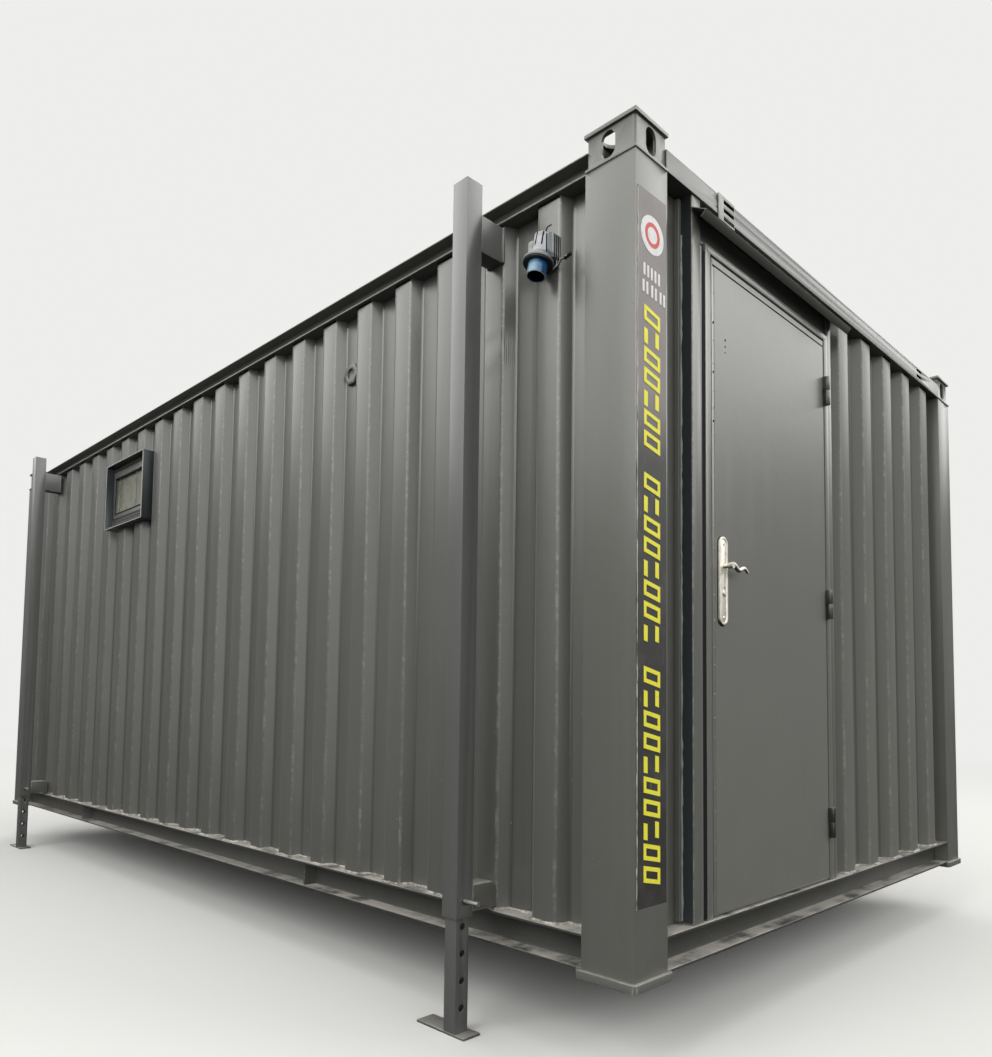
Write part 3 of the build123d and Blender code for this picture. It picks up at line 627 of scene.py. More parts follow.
def make_sealant(finish, filler):
    """Uneven sealant at the foot of the side and front walls, and filler down the jamb by the door."""
    height = SILL + BEAD_RISE
    side = wall_foot(POST_Y, LENGTH - POST_Y, SIDE_CRESTS, 0.8 * SIDE_BEAD)
    left = [place(depth, along, height) for along, depth in side]
    right = [place(WIDTH - depth, along, height) for along, depth in side]
    front = wall_foot(PORTAL_RIGHT, WIDTH - POST_X, FRONT_CRESTS, FRONT_BEAD_OUT)
    near = [place(along, depth, height) for along, depth in front]
    strand("left_sealant", left, SIDE_BEAD, finish, wobble=0.6, step=0.012)
    strand("right_sealant", right, SIDE_BEAD, finish, wobble=0.6, step=0.02)
    strand("front_sealant", near, FRONT_BEAD, finish, wobble=0.8, step=0.014)
    jamb = [place(PORTAL_LEFT - FILLER_SET, JAMB_FOLD - 0.0008, z) for z in (SILL + 0.01, FILLER_TOP)]
    strand("jamb_filler", jamb, JAMB_BEAD, filler, wobble=0.9, step=0.011)


# Strip on the near post, with its disc, its small bars and its leaning bars
MARKER_LEFT = 0.008
MARKER_RIGHT = 0.150
MARKER_BOTTOM = 0.215
MARKER_TOP = 2.215
FILM = 0.0009
DISC_X = 0.0797
DISC_Z = 2.093
BAR_LEFT = 0.040
BAR_RIGHT = 0.118
BAR_TOP = 1.872
BAR_PITCH = 0.0597
BAR_HEIGHT = 0.044
BAR_STROKE = 0.0118
BAR_LEAN = 0.20
BAR_GROUPS = (7, 8, 10)
SMALL_ROWS = ((2.000, 5), (1.950, 6))
SMALL_LEFT = 0.032
SMALL_PITCH = 0.018
SMALL_WIDTH = 0.0095
SMALL_HEIGHT = 0.036
SMALL_LEAN = 0.1
DISC_RADIUS = 0.056
RING_RADII = (0.036, 0.024)
TORN_SHARE = 0.12
TORN_WAVES = (9.0, 37.0)
TORN_OUT = 0.0045
TORN_CURL = 0.0022
INK = 1.2 * FILM
ROUND = [math.tau * index / 64 for index in range(64)]


def leaning_box(top, inset):
    """Corners of a leaning box on the marker strip, drawn in by an inset."""
    left, right = BAR_LEFT + inset, BAR_RIGHT - inset
    upper, lower = top - inset, top - BAR_HEIGHT + inset
    middle = (BAR_LEFT + BAR_RIGHT) / 2
    corners = ((left, upper), (right, upper), (right, lower), (left, lower))
    return [place(x, -FILM, z - BAR_LEAN * (x - middle)) for x, z in corners]


def make_marker(film, yellow, white, red, torn):
    """A worn dark strip on the near post, with leaning bars, small bars and a ringed disc, and no words."""
    shape = bmesh.new()
    width = MARKER_RIGHT - MARKER_LEFT
    tall = MARKER_TOP - MARKER_BOTTOM
    middle = place((MARKER_LEFT + MARKER_RIGHT) / 2, -FILM, (MARKER_BOTTOM + MARKER_TOP) / 2)
    upright = Matrix.Rotation(math.radians(90), 4, "X")
    matrix = Matrix.Translation(middle) @ upright @ Matrix.Diagonal((width, tall, 1.0, 1.0))
    bmesh.ops.create_grid(shape, x_segments=12, y_segments=200, size=0.5, matrix=matrix)
    left_edge = place(MARKER_LEFT, 0, 0).x
    for vert in shape.verts:
        share = max(0.0, 1.0 - (vert.co.x - left_edge) / (width * TORN_SHARE))
        wave = noise.noise(Vector((0.0, 0.0, vert.co.z * TORN_WAVES[0])))
        wave += 0.4 * noise.noise(Vector((3.0, 0.0, vert.co.z * TORN_WAVES[1])))
        vert.co.x += share * TORN_OUT * wave
        vert.co.y -= share * TORN_CURL * max(0.0, wave + 0.25)
    bmesh.ops.solidify(shape, geom=shape.faces[:], thickness=FILM * 0.8)
    finished("marker_strip", shape, "cabin", film)
    edge = [place(MARKER_LEFT + 0.0012, -0.0012, z) for z in (MARKER_BOTTOM, MARKER_TOP - 0.01)]
    strand("marker_torn_edge", edge, 0.0011, torn, wobble=1.3, step=0.017, rings=1)

    shape = bmesh.new()
    count = 0
    for group in BAR_GROUPS:
        for turn in range(group):
            top = BAR_TOP - count * BAR_PITCH
            if turn % 3 == 1:
                for start in (BAR_LEFT, BAR_RIGHT - 2 * BAR_STROKE):
                    low = place(start, -FILM - INK, top - BAR_HEIGHT)
                    add_bar(shape, low, place(start + 1.5 * BAR_STROKE, -FILM, top), 0.0002, BAR_LEAN)
            else:
                add_band(shape, leaning_box(top, 0.0), leaning_box(top, BAR_STROKE), INK)
            count += 1
        count += 1
    finished("marker_bars", shape, "cabin", yellow)

    shape = bmesh.new()
    for row, (top, bars) in enumerate(SMALL_ROWS):
        for index in range(bars):
            start = SMALL_LEFT + index * SMALL_PITCH + (0.006 * (index // 2) if row else 0.004)
            drop = SMALL_LEAN * (start - 0.03)
            low = place(start, -FILM - INK, top - SMALL_HEIGHT - drop)
            add_bar(shape, low, place(start + SMALL_WIDTH, -FILM, top - drop), 0.0002)
    add_disc(shape, place(DISC_X, -FILM, DISC_Z), (0, -1, 0), DISC_RADIUS, FILM, 64)
    finished("marker_disc_and_small_bars", shape, "cabin", white)

    shape = bmesh.new()
    rings = []
    for radius in RING_RADII:
        steps = [(radius * math.cos(turn), radius * math.sin(turn)) for turn in ROUND]
        rings.append([place(DISC_X + across, -2.0 * FILM, DISC_Z + up) for across, up in steps])
    add_band(shape, *rings, 0.6 * FILM)
    finished("marker_ring", shape, "cabin", red)


def add_side_bars(shape, depth, reach, start, stop, bevel):
    """The same upright bar on both side walls, standing out from a depth and sunk behind it by its reach."""
    proud, sunk = reach
    for x, out in ((depth, -1), (WIDTH - depth, 1)):
        near, far = sorted((x + out * proud, x - out * sunk))
        add_bar(shape, place(near, *start), place(far, *stop), bevel)


LAPS = 4
LAP_FIRST = 0.242
LAP_PITCH = 5 * SIDE_PITCH
LAP_WIDTH = 0.019


def make_lap_strips(finish):
    """Narrow strips where the wall's sheets lap."""
    shape = bmesh.new()
    for row in range(LAPS):
        near = POST_Y + LAP_FIRST + row * LAP_PITCH
        start = (near, SILL + 0.012)
        stop = (near + LAP_WIDTH, RAIL - 0.004)
        add_side_bars(shape, VALLEY_SET, (0.0022, 0.0), start, stop, 0.0008)
    finished("lap_strips", shape, "cabin", finish)


# Strips and painted shade beside the door, painted shadow lines above the crests, and folds on the crests
GROOVE_LEFT = 0.3502
GROOVE_SHADE_LEFT = 0.3590
GROOVE_SHADE_RIGHT = 0.3816
STRIP_BACK = 0.0595
JAMB_LEFT = 0.285
CREST_INSET = 0.002
CREST_SHADOW = 0.0085
FOLD_INSET = 0.0065
FOLD_WIDTH = 0.0045
GROOVE_SHADE_FACE = 0.0085
GROOVE_FACE = 0.0075
JAMB_FOOT = SILL + 0.006
JAMB_HEAD = HEADER - 0.004


def make_gaps(finish, paint, dark):
    """Painted shade in the door's groove and on its jamb, painted shadow lines above the crests, strips
    beside the door, and a fold on each side crest.
    """
    # Painted shade: a black strip in the groove beside the door, and black lines above each crest under the
    # rail and header as painted shadow.
    shape = bmesh.new()
    add_bar(shape, place(GROOVE_SHADE_LEFT, GROOVE_SHADE_FACE, LEAF_BOTTOM), place(GROOVE_SHADE_RIGHT, STRIP_BACK, LEAF_TOP), 0.0008)
    for crest in SIDE_CRESTS:
        start = (crest + CREST_INSET, RAIL - CREST_SHADOW)
        stop = (crest + CREST_WIDTH - CREST_INSET, RAIL - 0.0008)
        add_side_bars(shape, CREST_SET, (0.0014, 0.003), start, stop, 0.0004)
    for crest in FRONT_CRESTS:
        low = place(crest + CREST_INSET, CREST_SET - 0.0014, HEADER - CREST_SHADOW)
        high = place(crest + CREST_WIDTH - CREST_INSET, CREST_SET + 0.003, HEADER - 0.0008)
        add_bar(shape, low, high, 0.0004)
    finished("painted_shadow_lines", shape, "cabin", finish)

    shape = bmesh.new()
    low = place(GROOVE_LEFT, GROOVE_FACE, LEAF_BOTTOM - 0.01)
    add_bar(shape, low, place(GROOVE_SHADE_LEFT, STRIP_BACK, LEAF_TOP + 0.01), 0.0012)
    low = place(JAMB_LEFT, JAMB_FOLD, JAMB_FOOT)
    add_bar(shape, low, place(PORTAL_LEFT - 0.0001, STRIP_BACK + 0.0003, JAMB_HEAD), 0.0010)
    finished("groove_and_jamb_strips", shape, "cabin", paint)

    # Painted shade: the jamb's side face in the recess is covered in a dark bluish paint.
    shape = bmesh.new()
    low = place(PORTAL_LEFT - 0.0015, 0.0072, JAMB_FOOT)
    add_bar(shape, low, place(PORTAL_LEFT + 0.0003, JAMB_FOLD, JAMB_HEAD), 0.0006)
    finished("jamb_painted_shade", shape, "cabin", dark)

    shape = bmesh.new()
    for crest in SIDE_CRESTS:
        edge = crest + CREST_WIDTH - FOLD_INSET
        start = (edge, SILL + 0.03)
        stop = (edge + FOLD_WIDTH, RAIL - 0.012)
        add_side_bars(shape, CREST_SET, (0.0009, 0.002), start, stop, 0.0007)
    finished("crest_folds", shape, "cabin", paint)


SKIN = 0.0014
SKIN_SPLIT = LEAF_TOP - 0.026
CAP_FOOT = LEAF_TOP - 0.021
RIVETS = 26
RIVET_INSET = 0.0095
RIVET_PITCH = 0.0735
RIVET_FIRST = 0.212
DARK_RIVETS = (1.965, 1.805, 1.648)
HOLE_X = 0.502
HOLES = ((1.930, 0.0042), (1.908, 0.0034), (1.889, 0.0026))


def make_door_details(paint, dark, white):
    """The skin's edges, its groove, small holes and three rivets in black as painted shade, and a row of
    rivets on the leaf.
    """
    shape = bmesh.new()
    skin = LEAF_FACE - SKIN
    low = place(LEAF_LEFT + 0.014, skin, LEAF_BOTTOM + 0.006)
    add_bar(shape, low, place(LEAF_RIGHT - 0.004, LEAF_FACE, SKIN_SPLIT), 0.0007)
    low = place(LEAF_LEFT + 0.003, skin, CAP_FOOT)
    add_bar(shape, low, place(LEAF_RIGHT - 0.003, LEAF_FACE, LEAF_TOP - 0.002), 0.0007)
    finished("door_skin", shape, "door", paint)

    # Painted shade: the groove line, the small holes and three rivets are black.
    shape = bmesh.new()
    groove = place(LEAF_LEFT + 0.006, LEAF_FACE - 0.0009, SKIN_SPLIT - 0.0002)
    add_bar(shape, groove, place(LEAF_RIGHT - 0.004, LEAF_FACE, CAP_FOOT + 0.0002), 0.0003)
    for z, radius in HOLES:
        add_disc(shape, place(HOLE_X, skin, z), (0, -1, 0), radius, 0.0004, 12)
    for z in DARK_RIVETS:
        add_disc(shape, place(LEAF_LEFT + RIVET_INSET, LEAF_FACE, z), (0, -1, 0), 0.0040, 0.0019, 12, 0.6)
    finished("door_groove", shape, "door", dark)

    shape = bmesh.new()
    for index in range(RIVETS):
        z = RIVET_FIRST + index * RIVET_PITCH + 0.011 * math.sin(index * 2.3)
        add_disc(shape, place(LEAF_LEFT + RIVET_INSET, LEAF_FACE, z), (0, -1, 0), 0.0027, 0.0016, 12, 0.6)
    finished("door_rivets", shape, "door", white)


def add_stadium(shape, x, z, y, width, tall, depth, border):
    """A long plate with round ends, and a raised border round its face."""
    radius = width / 2
    out = math.copysign(1.0, depth)
    matrix = Matrix.Translation(place(x, y, z)) @ Matrix.Rotation(math.radians(90), 4, "X")
    made = bmesh.ops.create_circle(shape, cap_ends=True, segments=40, radius=radius, matrix=matrix)
    centre = place(x, y, z)
    for vert in made["verts"]:
        if abs(vert.co.z - centre.z) > 1e-6:
            vert.co.z += math.copysign(tall / 2 - radius, vert.co.z - centre.z)
    base = [face for face in shape.faces if all(vert in made["verts"] for vert in face.verts)]
    raised = bmesh.ops.extrude_face_region(shape, geom=base)
    front = [item for item in raised["geom"] if isinstance(item, bmesh.types.BMFace)]
    moved = {vert for face in front for vert in face.verts}
    bmesh.ops.translate(shape, verts=list(moved), vec=(0, depth, 0))
    bmesh.ops.recalc_face_normals(shape, faces=shape.faces)
    edge = (0.0016, 0.0012 * out)
    slope = (0.0016, -0.0020 * out)
    crown = (0.0030, 0.0012 * out)
    for thickness, drop in (edge, (border, 0.0), slope, crown):
        bmesh.ops.inset_region(shape, faces=front, thickness=thickness)
        moved = {vert for face in front for vert in face.verts}
        bmesh.ops.translate(shape, verts=list(moved), vec=(0, drop, 0))


PLATE_WIDTH = 0.050
PLATE_TALL = 0.278
PLATE_DEPTH = 0.0078
PLATE_BORDER = 0.0055
SCREW_REACH = 0.116
LOCK_FACE = -0.003
KEYHOLES = ((1.116, 0.0032), (1.100, 0.0024))
LOCK_DOTS = (1.128, 1.113)
SHADOW_PLATE_WIDTH = 0.0555
SHADOW_PLATE_TALL = 0.2840
SHADOW_PLATE_DEPTH = 0.0016
GRIP = 0.0062
NECKS = ((-0.024, -1), (0.088, 1))
NECK_RADIUS = 0.0068
COLLAR_RADIUS = 0.0095
WAVE = (
    (0.0, 0.004), (0.010, 0.007), (0.022, 0.003), (0.036, -0.007), (0.048, -0.0105), (0.060, -0.006),
    (0.074, 0.002), (0.088, 0.001), (0.103, -0.011),
)


def wave_route():
    """Points along the smooth wave of a lever, from its neck to its tip."""
    spine = bpy.data.curves.new("lever_spine", "CURVE")
    spine.dimensions = "3D"
    line = spine.splines.new("NURBS")
    line.points.add(len(WAVE) - 1)
    for point, (along, rise) in zip(line.points, WAVE):
        point.co = (along, 0.0, rise, 1.0)
    line.order_u = 4
    line.use_endpoint_u = True
    holder = bpy.data.objects.new("lever_spine", spine)
    mesh = bpy.data.meshes.new_from_object(holder)
    route = [Vector(vert.co) for vert in mesh.vertices]
    bpy.data.objects.remove(holder)
    bpy.data.meshes.remove(mesh)
    return route


def grip_size(share):
    """How thick a lever is along its length, from its neck at 0 to its tip at 1."""
    return 1.15 - 0.45 * share + 0.25 * math.sin(math.pi * share)


def make_handle(nickel, dark):
    """Bordered backplates with screws, the lock's keyholes in black as painted shade, a black plate round
    the backplate as its painted shadow, and waved levers.
    """
    shape = bmesh.new()
    add_stadium(shape, HANDLE_X, HANDLE_Z, LEAF_FACE, PLATE_WIDTH, PLATE_TALL, -PLATE_DEPTH, PLATE_BORDER)
    add_stadium(shape, HANDLE_X, HANDLE_Z, LEAF_BACK, PLATE_WIDTH, PLATE_TALL, PLATE_DEPTH, PLATE_BORDER)
    for y, out in ((LEAF_FACE - PLATE_DEPTH, -1), (LEAF_BACK + PLATE_DEPTH, 1)):
        for z in (HANDLE_Z - SCREW_REACH, HANDLE_Z + SCREW_REACH):
            add_disc(shape, place(HANDLE_X, y, z), (0, out, 0), 0.0055, 0.0022, 20, 0.7)
    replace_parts(finished("bordered_backplates", shape, "door", nickel), "door_backplates")

    shape = bmesh.new()
    for z, radius in KEYHOLES:
        low = place(HANDLE_X - radius / 2, LOCK_FACE - 0.0002, z - radius)
        add_bar(shape, low, place(HANDLE_X + radius / 2, LOCK_FACE + 0.0006, z + radius), 0.0002)
    for z in LOCK_DOTS:
        add_disc(shape, place(HANDLE_X + 0.004, 0.0022, z), (0, -1, 0), 0.0026, 0.0005, 12)
    # Painted shadow: a black plate a little larger than the backplate, set off to its left and below.
    x, z = HANDLE_X - 0.0016, HANDLE_Z - 0.0012
    add_stadium(shape, x, z, LEAF_FACE, SHADOW_PLATE_WIDTH, SHADOW_PLATE_TALL, -SHADOW_PLATE_DEPTH, 0.0010)
    finished("keyholes_and_painted_shadow", shape, "door", dark)

    route = wave_route()
    shape = bmesh.new()
    for y, out in NECKS:
        root = place(HANDLE_X, y, LEVER_Z)
        sweep = [root + Vector((spot.x, 0.0, spot.z)) for spot in route]
        mesh = strand_mesh("lever_grip", sweep, GRIP, step=0.004, rings=4, taper=grip_size)
        shape.from_mesh(mesh)
        bpy.data.meshes.remove(mesh)
        add_disc(shape, place(HANDLE_X, y + out * 0.008, LEVER_Z), (0, -out, 0), COLLAR_RADIUS, 0.016)
        add_disc(shape, root, (0, -out, 0), NECK_RADIUS, 0.024, 28)
    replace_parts(finished("waved_levers", shape, "lever", nickel), "lever_handles")


def add_turned_bar(shape, matrix, low, high, bevel):
    """A bevelled bar, turned and moved by a matrix."""
    before = set(shape.verts)
    add_bar(shape, low, high, bevel)
    bmesh.ops.transform(shape, matrix=matrix, verts=[vert for vert in shape.verts if vert not in before])


def hoop(radius, height, turns):
    """Places round the inlet's axis, at a height along it from its tip."""
    steps = [Vector((radius * math.cos(turn), radius * math.sin(turn), height)) for turn in turns]
    return [INLET_SPOT @ step for step in steps]


def beside_wall(depth, pairs):
    """Places at one depth from the left side, from pairs of y and z."""
    return [place(depth, y, z) for y, z in pairs]


INLET_SPOT = Matrix.Translation(INLET_TIP) @ INLET_TURN
FLUTES = 8
FLUTE_LOW = Vector((0.0250, -0.0023, 0.050))
FLUTE_HIGH = Vector((0.0276, 0.0023, 0.0965))
RIB_GAPS = ((-0.0155, -0.011), (-0.0065, -0.002), (0.0025, 0.007), (0.0118, 0.0148))
RIB_GAP_LOW = (0.2855, 2.104)
RIB_GAP_HIGH = (0.2904, 2.1765)
OUTER_GAP = ((-0.0412, 0.292, 2.107), (-0.0396, 0.297, 2.170))
CATCH_LUG = ((0.003, 0.300, 2.082), (0.013, 0.319, 2.1035))
MOUTH_SHADE_MIDDLE = -0.0275
MOUTH_SHADE_DEPTH = 0.030
RIM_HEIGHT = -0.0438
BRIM_HEIGHT = 0.0055
MOUTH_SHADE_RADIUS = 0.0253
RIM = 0.0283
BELL = 0.0482
FINE_WIRE = 0.0011
CATCH_WIRE = 0.0024
CATCH_SET = 0.005
CLIP_RADIUS = 0.0048
TAIL_WIRE = 0.0012
TAIL_SET = 0.0139
LOOP = ((0.324, 2.106), (0.319, 2.092), (0.304, 2.078), (0.292, 2.088), (0.289, 2.106))
CATCH = ((0.303, 2.079), (0.288, 2.083), (0.275, 2.100), (0.260, 2.098), (0.239, 2.103))
CLIP = ((0.262, 2.0975), (0.238, 2.1035))
CLIP_MARK = ((0.256, 2.1005), (0.249, 2.1022))
TAIL = ((0.350, 2.205), (0.347, 2.224), (0.340, 2.233), (0.324, 2.233))


def make_inlet_details(black, wire, light):
    """Flutes and gaps between ribs in black as painted shade, a black tube in the mouth as painted shade,
    pale rims as painted highlights, and the bent wire catch with its lug, clip and painted shine.
    """
    # Painted shade: the flutes and the gaps between the ribs are filled in black; the lug is black too.
    shape = bmesh.new()
    for index in range(FLUTES):
        turn = INLET_SPOT @ Matrix.Rotation(math.tau * index / FLUTES, 4, "Z")
        add_turned_bar(shape, turn, FLUTE_LOW, FLUTE_HIGH, 0.0006)
    for start, stop in RIB_GAPS:
        add_bar(shape, place(start, *RIB_GAP_LOW), place(stop, *RIB_GAP_HIGH), 0.0004)
    for (low, high), bevel in ((OUTER_GAP, 0.0004), (CATCH_LUG, 0.002)):
        add_bar(shape, place(*low), place(*high), bevel)
    finished("inlet_groove_shade_and_lug", shape, "cabin", black)

    # Painted shade: a black tube inside the inlet's mouth.
    shape = bmesh.new()
    bmesh.ops.create_cone(
        shape, cap_ends=False, segments=48, radius1=MOUTH_SHADE_RADIUS, radius2=MOUTH_SHADE_RADIUS, depth=MOUTH_SHADE_DEPTH,
        matrix=INLET_SPOT @ Matrix.Translation((0.0, 0.0, MOUTH_SHADE_MIDDLE)),
    )
    bmesh.ops.solidify(shape, geom=shape.faces[:], thickness=0.0005)
    finished("inlet_mouth_shade", shape, "cabin", black)

    # Painted highlights: pale rings round the mouth's rim and along one side of the bell's brim.
    rim = hoop(RIM, RIM_HEIGHT, [math.tau * index / 48 for index in range(49)])
    strand("inlet_rim_highlight", rim, FINE_WIRE, light)
    brim = hoop(BELL, BRIM_HEIGHT, [math.radians(105 + 6 * index) for index in range(26)])
    strand("bell_brim_highlight", brim, FINE_WIRE, light)
    strand("catch_loop", beside_wall(0.002, LOOP), 0.0014, light)
    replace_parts(strand("catch_line", beside_wall(CATCH_SET, CATCH), CATCH_WIRE, wire), "inlet_catch")
    shine = [(y + 0.001, z + 0.0015) for y, z in CATCH[:-1]]
    strand("catch_shine", beside_wall(0.0025, shine), 0.0010, light)
    strand("catch_clip", beside_wall(CATCH_SET, CLIP), CLIP_RADIUS, black)
    strand("clip_mark", beside_wall(0.0, CLIP_MARK), 0.0016, light)
    strand("loose_tail", beside_wall(TAIL_SET, TAIL), TAIL_WIRE, black)


PANE_BEAD = 0.0045
SASH_BEAD = 0.0026
SASH_OUT = 0.024
SASH_DOWN = 0.030
SASH_UP = 0.044
MESH_OUT = 0.026
MESH_BOTTOM = 1.786
MESH_TOP = 1.838
SLOT_ROWS = 3
SLOTS = 21
SLOT_LOW = 1.791
SLOT_PITCH = 0.0242
SLOT_RISE = 0.016
SLOT_SHIFT = 0.008
SLOT_WIDTH = 0.010
SLOT_TALL = 0.009
WORN_PROUD = 0.0006
WORN_TALL = 0.0034
WORN_WIDE = 0.0028


def make_window_details(gasket, paint, worn):
    """The gasket round the pane, the sash's joint, the slotted strip at the sill, and the worn rims."""
    glass_low, glass_high = corners_of("window_glass")
    near, far = glass_low.y, glass_high.y
    low, high = glass_low.z, glass_high.z
    face = corners_of("window_frame")[0].x - 0.0005
    pane = ((near, low), (far, low), (far, high), (near, high), (near, low))
    strand("pane_gasket", beside_wall(face, pane), PANE_BEAD, gasket, step=0.2, rings=1)
    near_side, far_side = near - SASH_OUT, far + SASH_OUT
    foot, head = low - SASH_DOWN, high + SASH_UP
    sash = ((near_side, foot), (far_side, foot), (far_side, head), (near_side, head), (near_side, foot))
    strand("sash_joint", beside_wall(face, sash), SASH_BEAD, gasket, step=0.2, rings=1)

    shape = bmesh.new()
    start = place(face - 0.0006, near - MESH_OUT, MESH_BOTTOM)
    add_bar(shape, start, place(face + 0.0006, far + MESH_OUT, MESH_TOP), 0.0002)
    finished("sill_mesh", shape, "cabin", gasket)

    shape = bmesh.new()
    for row in range(SLOT_ROWS):
        for index in range(SLOTS):
            y = near - 0.020 + index * SLOT_PITCH + row * SLOT_SHIFT
            z = SLOT_LOW + row * SLOT_RISE
            stop = place(face + 0.0006, y + SLOT_WIDTH, z + SLOT_TALL)
            add_bar(shape, place(face - 0.0018, y, z), stop, 0.0006)
    finished("sill_slots", shape, "cabin", paint)

    low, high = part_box("window_surround")
    out = low.x - 0.0008
    shape = bmesh.new()
    for z in (low.z - WORN_PROUD, high.z + WORN_PROUD - WORN_TALL):
        add_bar(shape, Vector((out, low.y, z)), Vector((low.x + 0.004, high.y, z + WORN_TALL)), 0.0008)
    for y in (low.y - WORN_PROUD, high.y + WORN_PROUD - WORN_WIDE):
        add_bar(shape, Vector((out, y, low.z)), Vector((low.x + 0.003, y + WORN_WIDE, high.z)), 0.0006)
    finished("worn_rims", shape, "cabin", worn)


make_camera()

# Finishes
wall_paint = painted_steel("wall_paint", 95, 94, edge_wear_and_highlight=0.4, streaks=0.5, specks=0.8, dent=DENT, gloss=0.8)
# Painted light: the end walls get a paler copy of the wall paint for the stronger light on them.
end_wall_lit_paint = painted_steel("end_wall_lit_paint", 112, 105, edge_wear_and_highlight=0.4, streaks=0.5, specks=0.5, gloss=0.32)
frame_paint = painted_steel("frame_paint", 108, 105, edge_wear_and_highlight=0.6, streaks=0.35, specks=0.3, gloss=0.38)
# Painted shade: the header gets a darker copy of the frame paint to offset the sky's reflection on it.
header_darkened_paint = painted_steel("header_darkened_paint", 80, 82, edge_wear_and_highlight=0.6, streaks=0.8, gloss=0.35)
base_paint = painted_steel("base_paint", 70, 74, edge_wear_and_highlight=0.6, streaks=0.3, specks=0.3, dust=0.95, gloss=0.5)
door_paint = painted_steel("door_paint", 116, 109, edge_wear_and_highlight=0.3, streaks=0.3)
jack_paint = painted_steel(
    "jack_paint", 106, 99, edge_wear_and_highlight=0.75, streaks=0.3, specks=0.4, tint=JACK_REFLECTED_TINT, gloss=0.5,
)
# Painted shade: the jamb's paint is dark and bluish, and darker towards its top.
jamb_shade_paint = painted_steel("jamb_shade_paint", 68, 50, streaks=0.2, tint=(0.86, 1.0, 1.06), gloss=0.25)
bracket_paint = painted_steel("bracket_paint", 98, 98, edge_wear_and_highlight=1.0, streaks=0.4, dust=0.9, gloss=0.5)
window_paint = painted_steel("window_paint", 92, 100, edge_wear_and_highlight=0.7, streaks=0.2)
# Painted shade: the window's surround gets a dark bluish paint for the shade in its reveal.
surround_shade_paint = painted_steel("surround_shade_paint", 40, 50, edge_wear_and_highlight=1.0, streaks=0.2, tint=(0.80, 1.0, 1.15))
hinge_paint = painted_steel("hinge_paint", 40, 58, edge_wear_and_highlight=0.5, streaks=0.2)
plated = bare_metal("plated_steel", 150, (1.0, 0.98, 0.94), 0.42, 0.7, 0.6)
nickel = bare_metal("nickel", 236, (1.0, 0.955, 0.83), 0.30, 0.45, 0.9)
grey_plastic = moulded("grey_plastic", grey(186, COOL), grey(150, WARM), 0.42, grey(122, COOL))
black_plastic = moulded("black_plastic", grey(24, COOL), grey(34, COOL), 0.45)
blue_plastic = blue_with_painted_sheen("blue_plastic")
dark_wire = bare_metal("dark_wire", 70, COOL, 0.4)
deck_wood = plywood("deck_plywood")
pane = window_pane("window_pane")
black_and_shade_finish = black_and_painted_shade("black_and_painted_shade")
sealant = old_sealant("old_sealant")
vinyl = worn_vinyl("marker_vinyl", 33, 124)
yellow_ink = printed("yellow_ink", (0.90, 0.84, 0.05, 1.0), (0.55, 0.50, 0.08, 1.0))
white_ink = printed("white_ink", grey(232), grey(176, WARM))
red_ink = printed("red_ink", (0.60, 0.045, 0.035, 1.0), (0.50, 0.16, 0.13, 1.0))
# Pale vinyl for the marker's torn edge and worn rims, also used for painted highlights on the inlet's rims
# and wire.
pale_vinyl_and_highlight = printed("pale_vinyl_and_highlight", grey(206, WARM), grey(90, WARM))
jamb_filler = printed("jamb_filler", grey(152, COOL), grey(100, COOL))

SOFT = {
    "corner_posts": (frame_paint, 0.004),
    "corner_base_plates": (frame_paint, 0.0025),
    "corner_heads": (frame_paint, 0.0022),
    "base_side_beams": (base_paint, 0.0018),
    "base_end_beams": (base_paint, 0.0018),
    "top_side_rails": (frame_paint, 0.0012),
    "top_end_headers": (header_darkened_paint, 0.003),
    "vent_plate": (frame_paint, 0.0007),
    "door_lintel": (frame_paint, 0.002),
    "door_portal": (frame_paint, 0.004),
    "door_frame": (door_paint, 0.002),
    "door_threshold": (door_paint, 0.002),
    "hinge_frame_barrels": (hinge_paint, 0.0012),
    "door_canopy": (frame_paint, 0.0008),
    "window_surround": (surround_shade_paint, 0.0016),
    "window_frame": (window_paint, 0.003),
    "jack_sleeves": (jack_paint, 0.0045),
    "jack_legs": (jack_paint, 0.0015),
    "jack_feet": (jack_paint, 0.0015),
    "jack_upper_brackets": (jack_paint, 0.002),
    "jack_lower_brackets": (bracket_paint, 0.0030),
    "vent_boss": (frame_paint, 0.0015),
    "front_wall_left": (wall_paint, 0.003),
}
WALLS = {
    "left_wall": wall_paint,
    "right_wall": wall_paint,
    "rear_wall": end_wall_lit_paint,
    "front_wall_right": end_wall_lit_paint,
}
for node, (finish, radius) in SOFT.items():
    soften(node, "cabin", finish, radius)
for node, finish in WALLS.items():
    soften(node, "cabin", finish, 0.007, segments=3, upright_only=True)
soften("door_leaf", "door", door_paint, 0.0018)
soften("hinge_leaf_barrels", "door", hinge_paint, 0.0012)
soften("lock_cylinder", "door", nickel, 0.0008)

PLAIN = {
    "floor_joists": frame_paint,
    "floor_deck": deck_wood,
    "roof": frame_paint,
    "window_glass": pane,
    "jack_pins": plated,
    "inlet_housing": grey_plastic,
    "inlet_plate": black_plastic,
    "inlet_shroud": blue_plastic,
    # The inlet's core is black, as painted shade inside its mouth.
    "inlet_core": black_and_shade_finish,
}
for node, finish in PLAIN.items():
    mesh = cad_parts[node].data
    mesh.materials.clear()
    mesh.materials.append(finish)

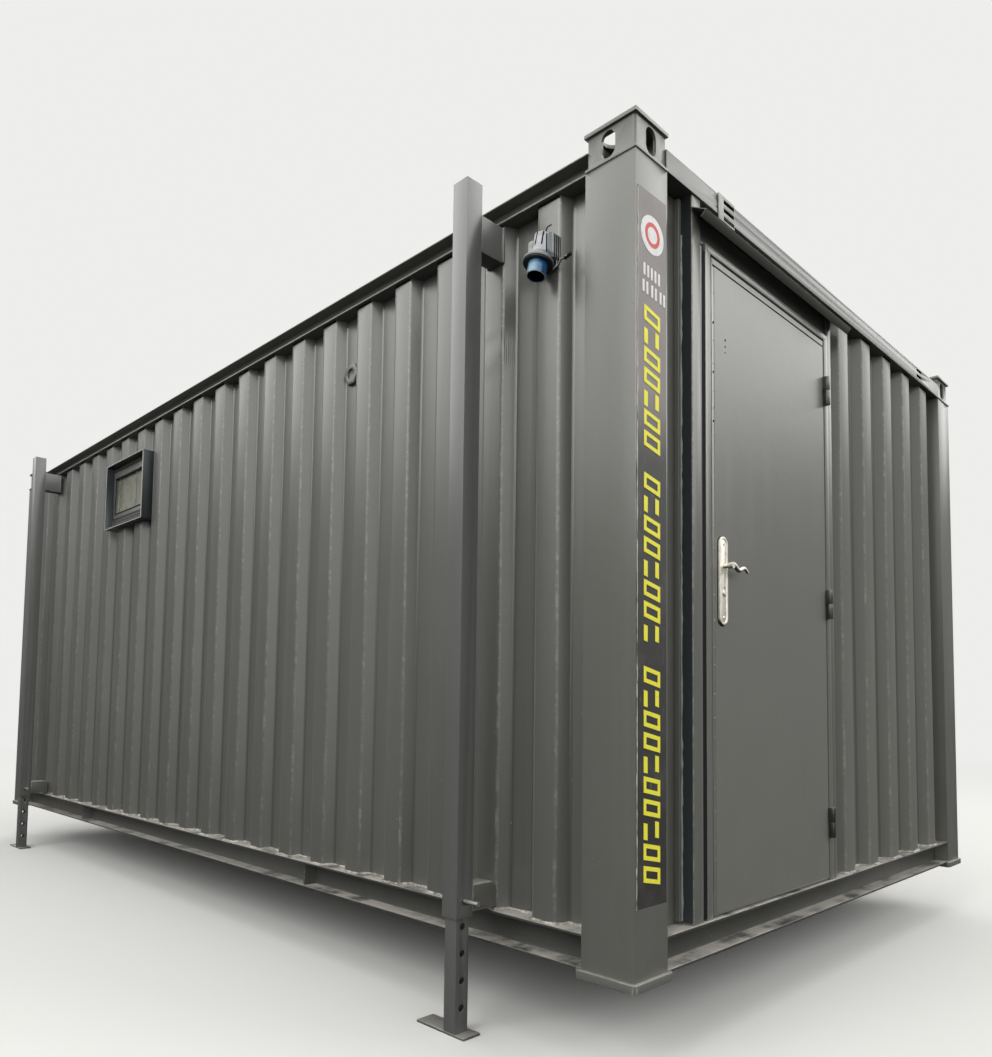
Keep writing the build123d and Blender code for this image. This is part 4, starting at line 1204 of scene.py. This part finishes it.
make_sealant(sealant, jamb_filler)
make_marker(vinyl, yellow_ink, white_ink, red_ink, pale_vinyl_and_highlight)
make_lap_strips(wall_paint)
make_gaps(black_and_shade_finish, frame_paint, jamb_shade_paint)
make_door_details(door_paint, black_and_shade_finish, sealant)
make_handle(nickel, black_and_shade_finish)
make_window_details(black_plastic, window_paint, pale_vinyl_and_highlight)
make_inlet_details(black_and_shade_finish, dark_wire, pale_vinyl_and_highlight)


# Light round the cabin
SURROUND = 0.80
SHEEN = 3.5
SKYLINE_SHEEN = 0.25
SKYLINE = (0.245, 0.385)
DIM_SIDE = (0.68, -0.73, 0.0)
FLOOR_BOUNCE = 84
BACKGROUND = grey(238, (1.0, 1.0, 0.98))


class Sky(Finish):
    """The surround and its nodes."""

    def __init__(self, name):
        self.world = bpy.data.worlds.new(name)
        self.world.use_nodes = True
        self.tree = self.world.node_tree
        self.spot = self.node("ShaderNodeTexCoord", {}, {}, "Generated")


def make_stage():
    """Pale floor, and a bright soft sky over a dim skyline that the satin paint mirrors."""
    floor = Finish("floor")
    seen = floor.ray("Camera")
    away = floor.measure("LENGTH", floor.spot).over(5.0, 17.0)
    black = (0.0, 0.0, 0.0, 1.0)
    pale = floor.mix(away, grey(240, (1.0, 0.995, 0.97)), black)
    floor.set(
        Base_Color=floor.mix(seen + floor.ray("Transmission"), grey(FLOOR_BOUNCE), pale),
        Roughness=0.95,
        Emission_Color=floor.mix(seen * away, black, BACKGROUND),
        Emission_Strength=1.0,
        Specular_IOR_Level=0.0,
    )
    shape = bmesh.new()
    bmesh.ops.create_grid(shape, x_segments=1, y_segments=1, size=60)
    mesh = bpy.data.meshes.new("floor")
    shape.to_mesh(mesh)
    shape.free()
    mesh.materials.append(floor.material)
    piece = bpy.data.objects.new("floor", mesh)
    bpy.context.scene.collection.objects.link(piece)

    sky = Sky("sky")
    seen = sky.ray("Camera")
    glancing = sky.ray("Glossy")
    beside = sky.measure("DOT_PRODUCT", sky.spot, DIM_SIDE)
    bright = sky.axis(2).over(*SKYLINE) * (1 - beside.over(0.84, 0.93) * 0.85)
    strength = glancing * (bright * SHEEN + SKYLINE_SHEEN) + (1 - glancing) * SURROUND
    background = sky.tree.nodes["Background"]
    sky.feed(background.inputs["Color"], BACKGROUND)
    sky.feed(background.inputs["Strength"], seen + (1 - seen) * strength)
    bpy.context.scene.world = sky.world


def lamp(name, spot, target, size, power):
    """A square soft lamp aimed at a point."""
    data = bpy.data.lights.new(name, "AREA")
    data.shape = "SQUARE"
    data.size = size
    data.energy = power
    made = bpy.data.objects.new(name, data)
    made.location = spot
    made.rotation_euler = (Vector(target) - Vector(spot)).to_track_quat("-Z", "Y").to_euler()
    bpy.context.scene.collection.objects.link(made)


make_stage()
lamp("left_soft_lamp", (-10.0, -2.0, 7.0), (-1.3, 0.0, 1.4), 7.0, 430)
lamp("near_soft_lamp", (-8.0, -12.5, 3.2), (-1.0, 0.5, 1.3), 9.0, 320)
lamp("right_soft_lamp", (6.0, -12.5, 8.0), (0.2, -2.7, 1.5), 7.0, 620)
lamp("back_soft_lamp", (9.0, 10.0, 7.0), (0.8, 1.5, 1.2), 7.0, 420)
lamp("top_soft_lamp", (-1.0, -1.0, 9.0), (0.0, 0.0, 2.0), 6.0, 130)

bpy.context.scene.view_settings.view_transform = "Standard"
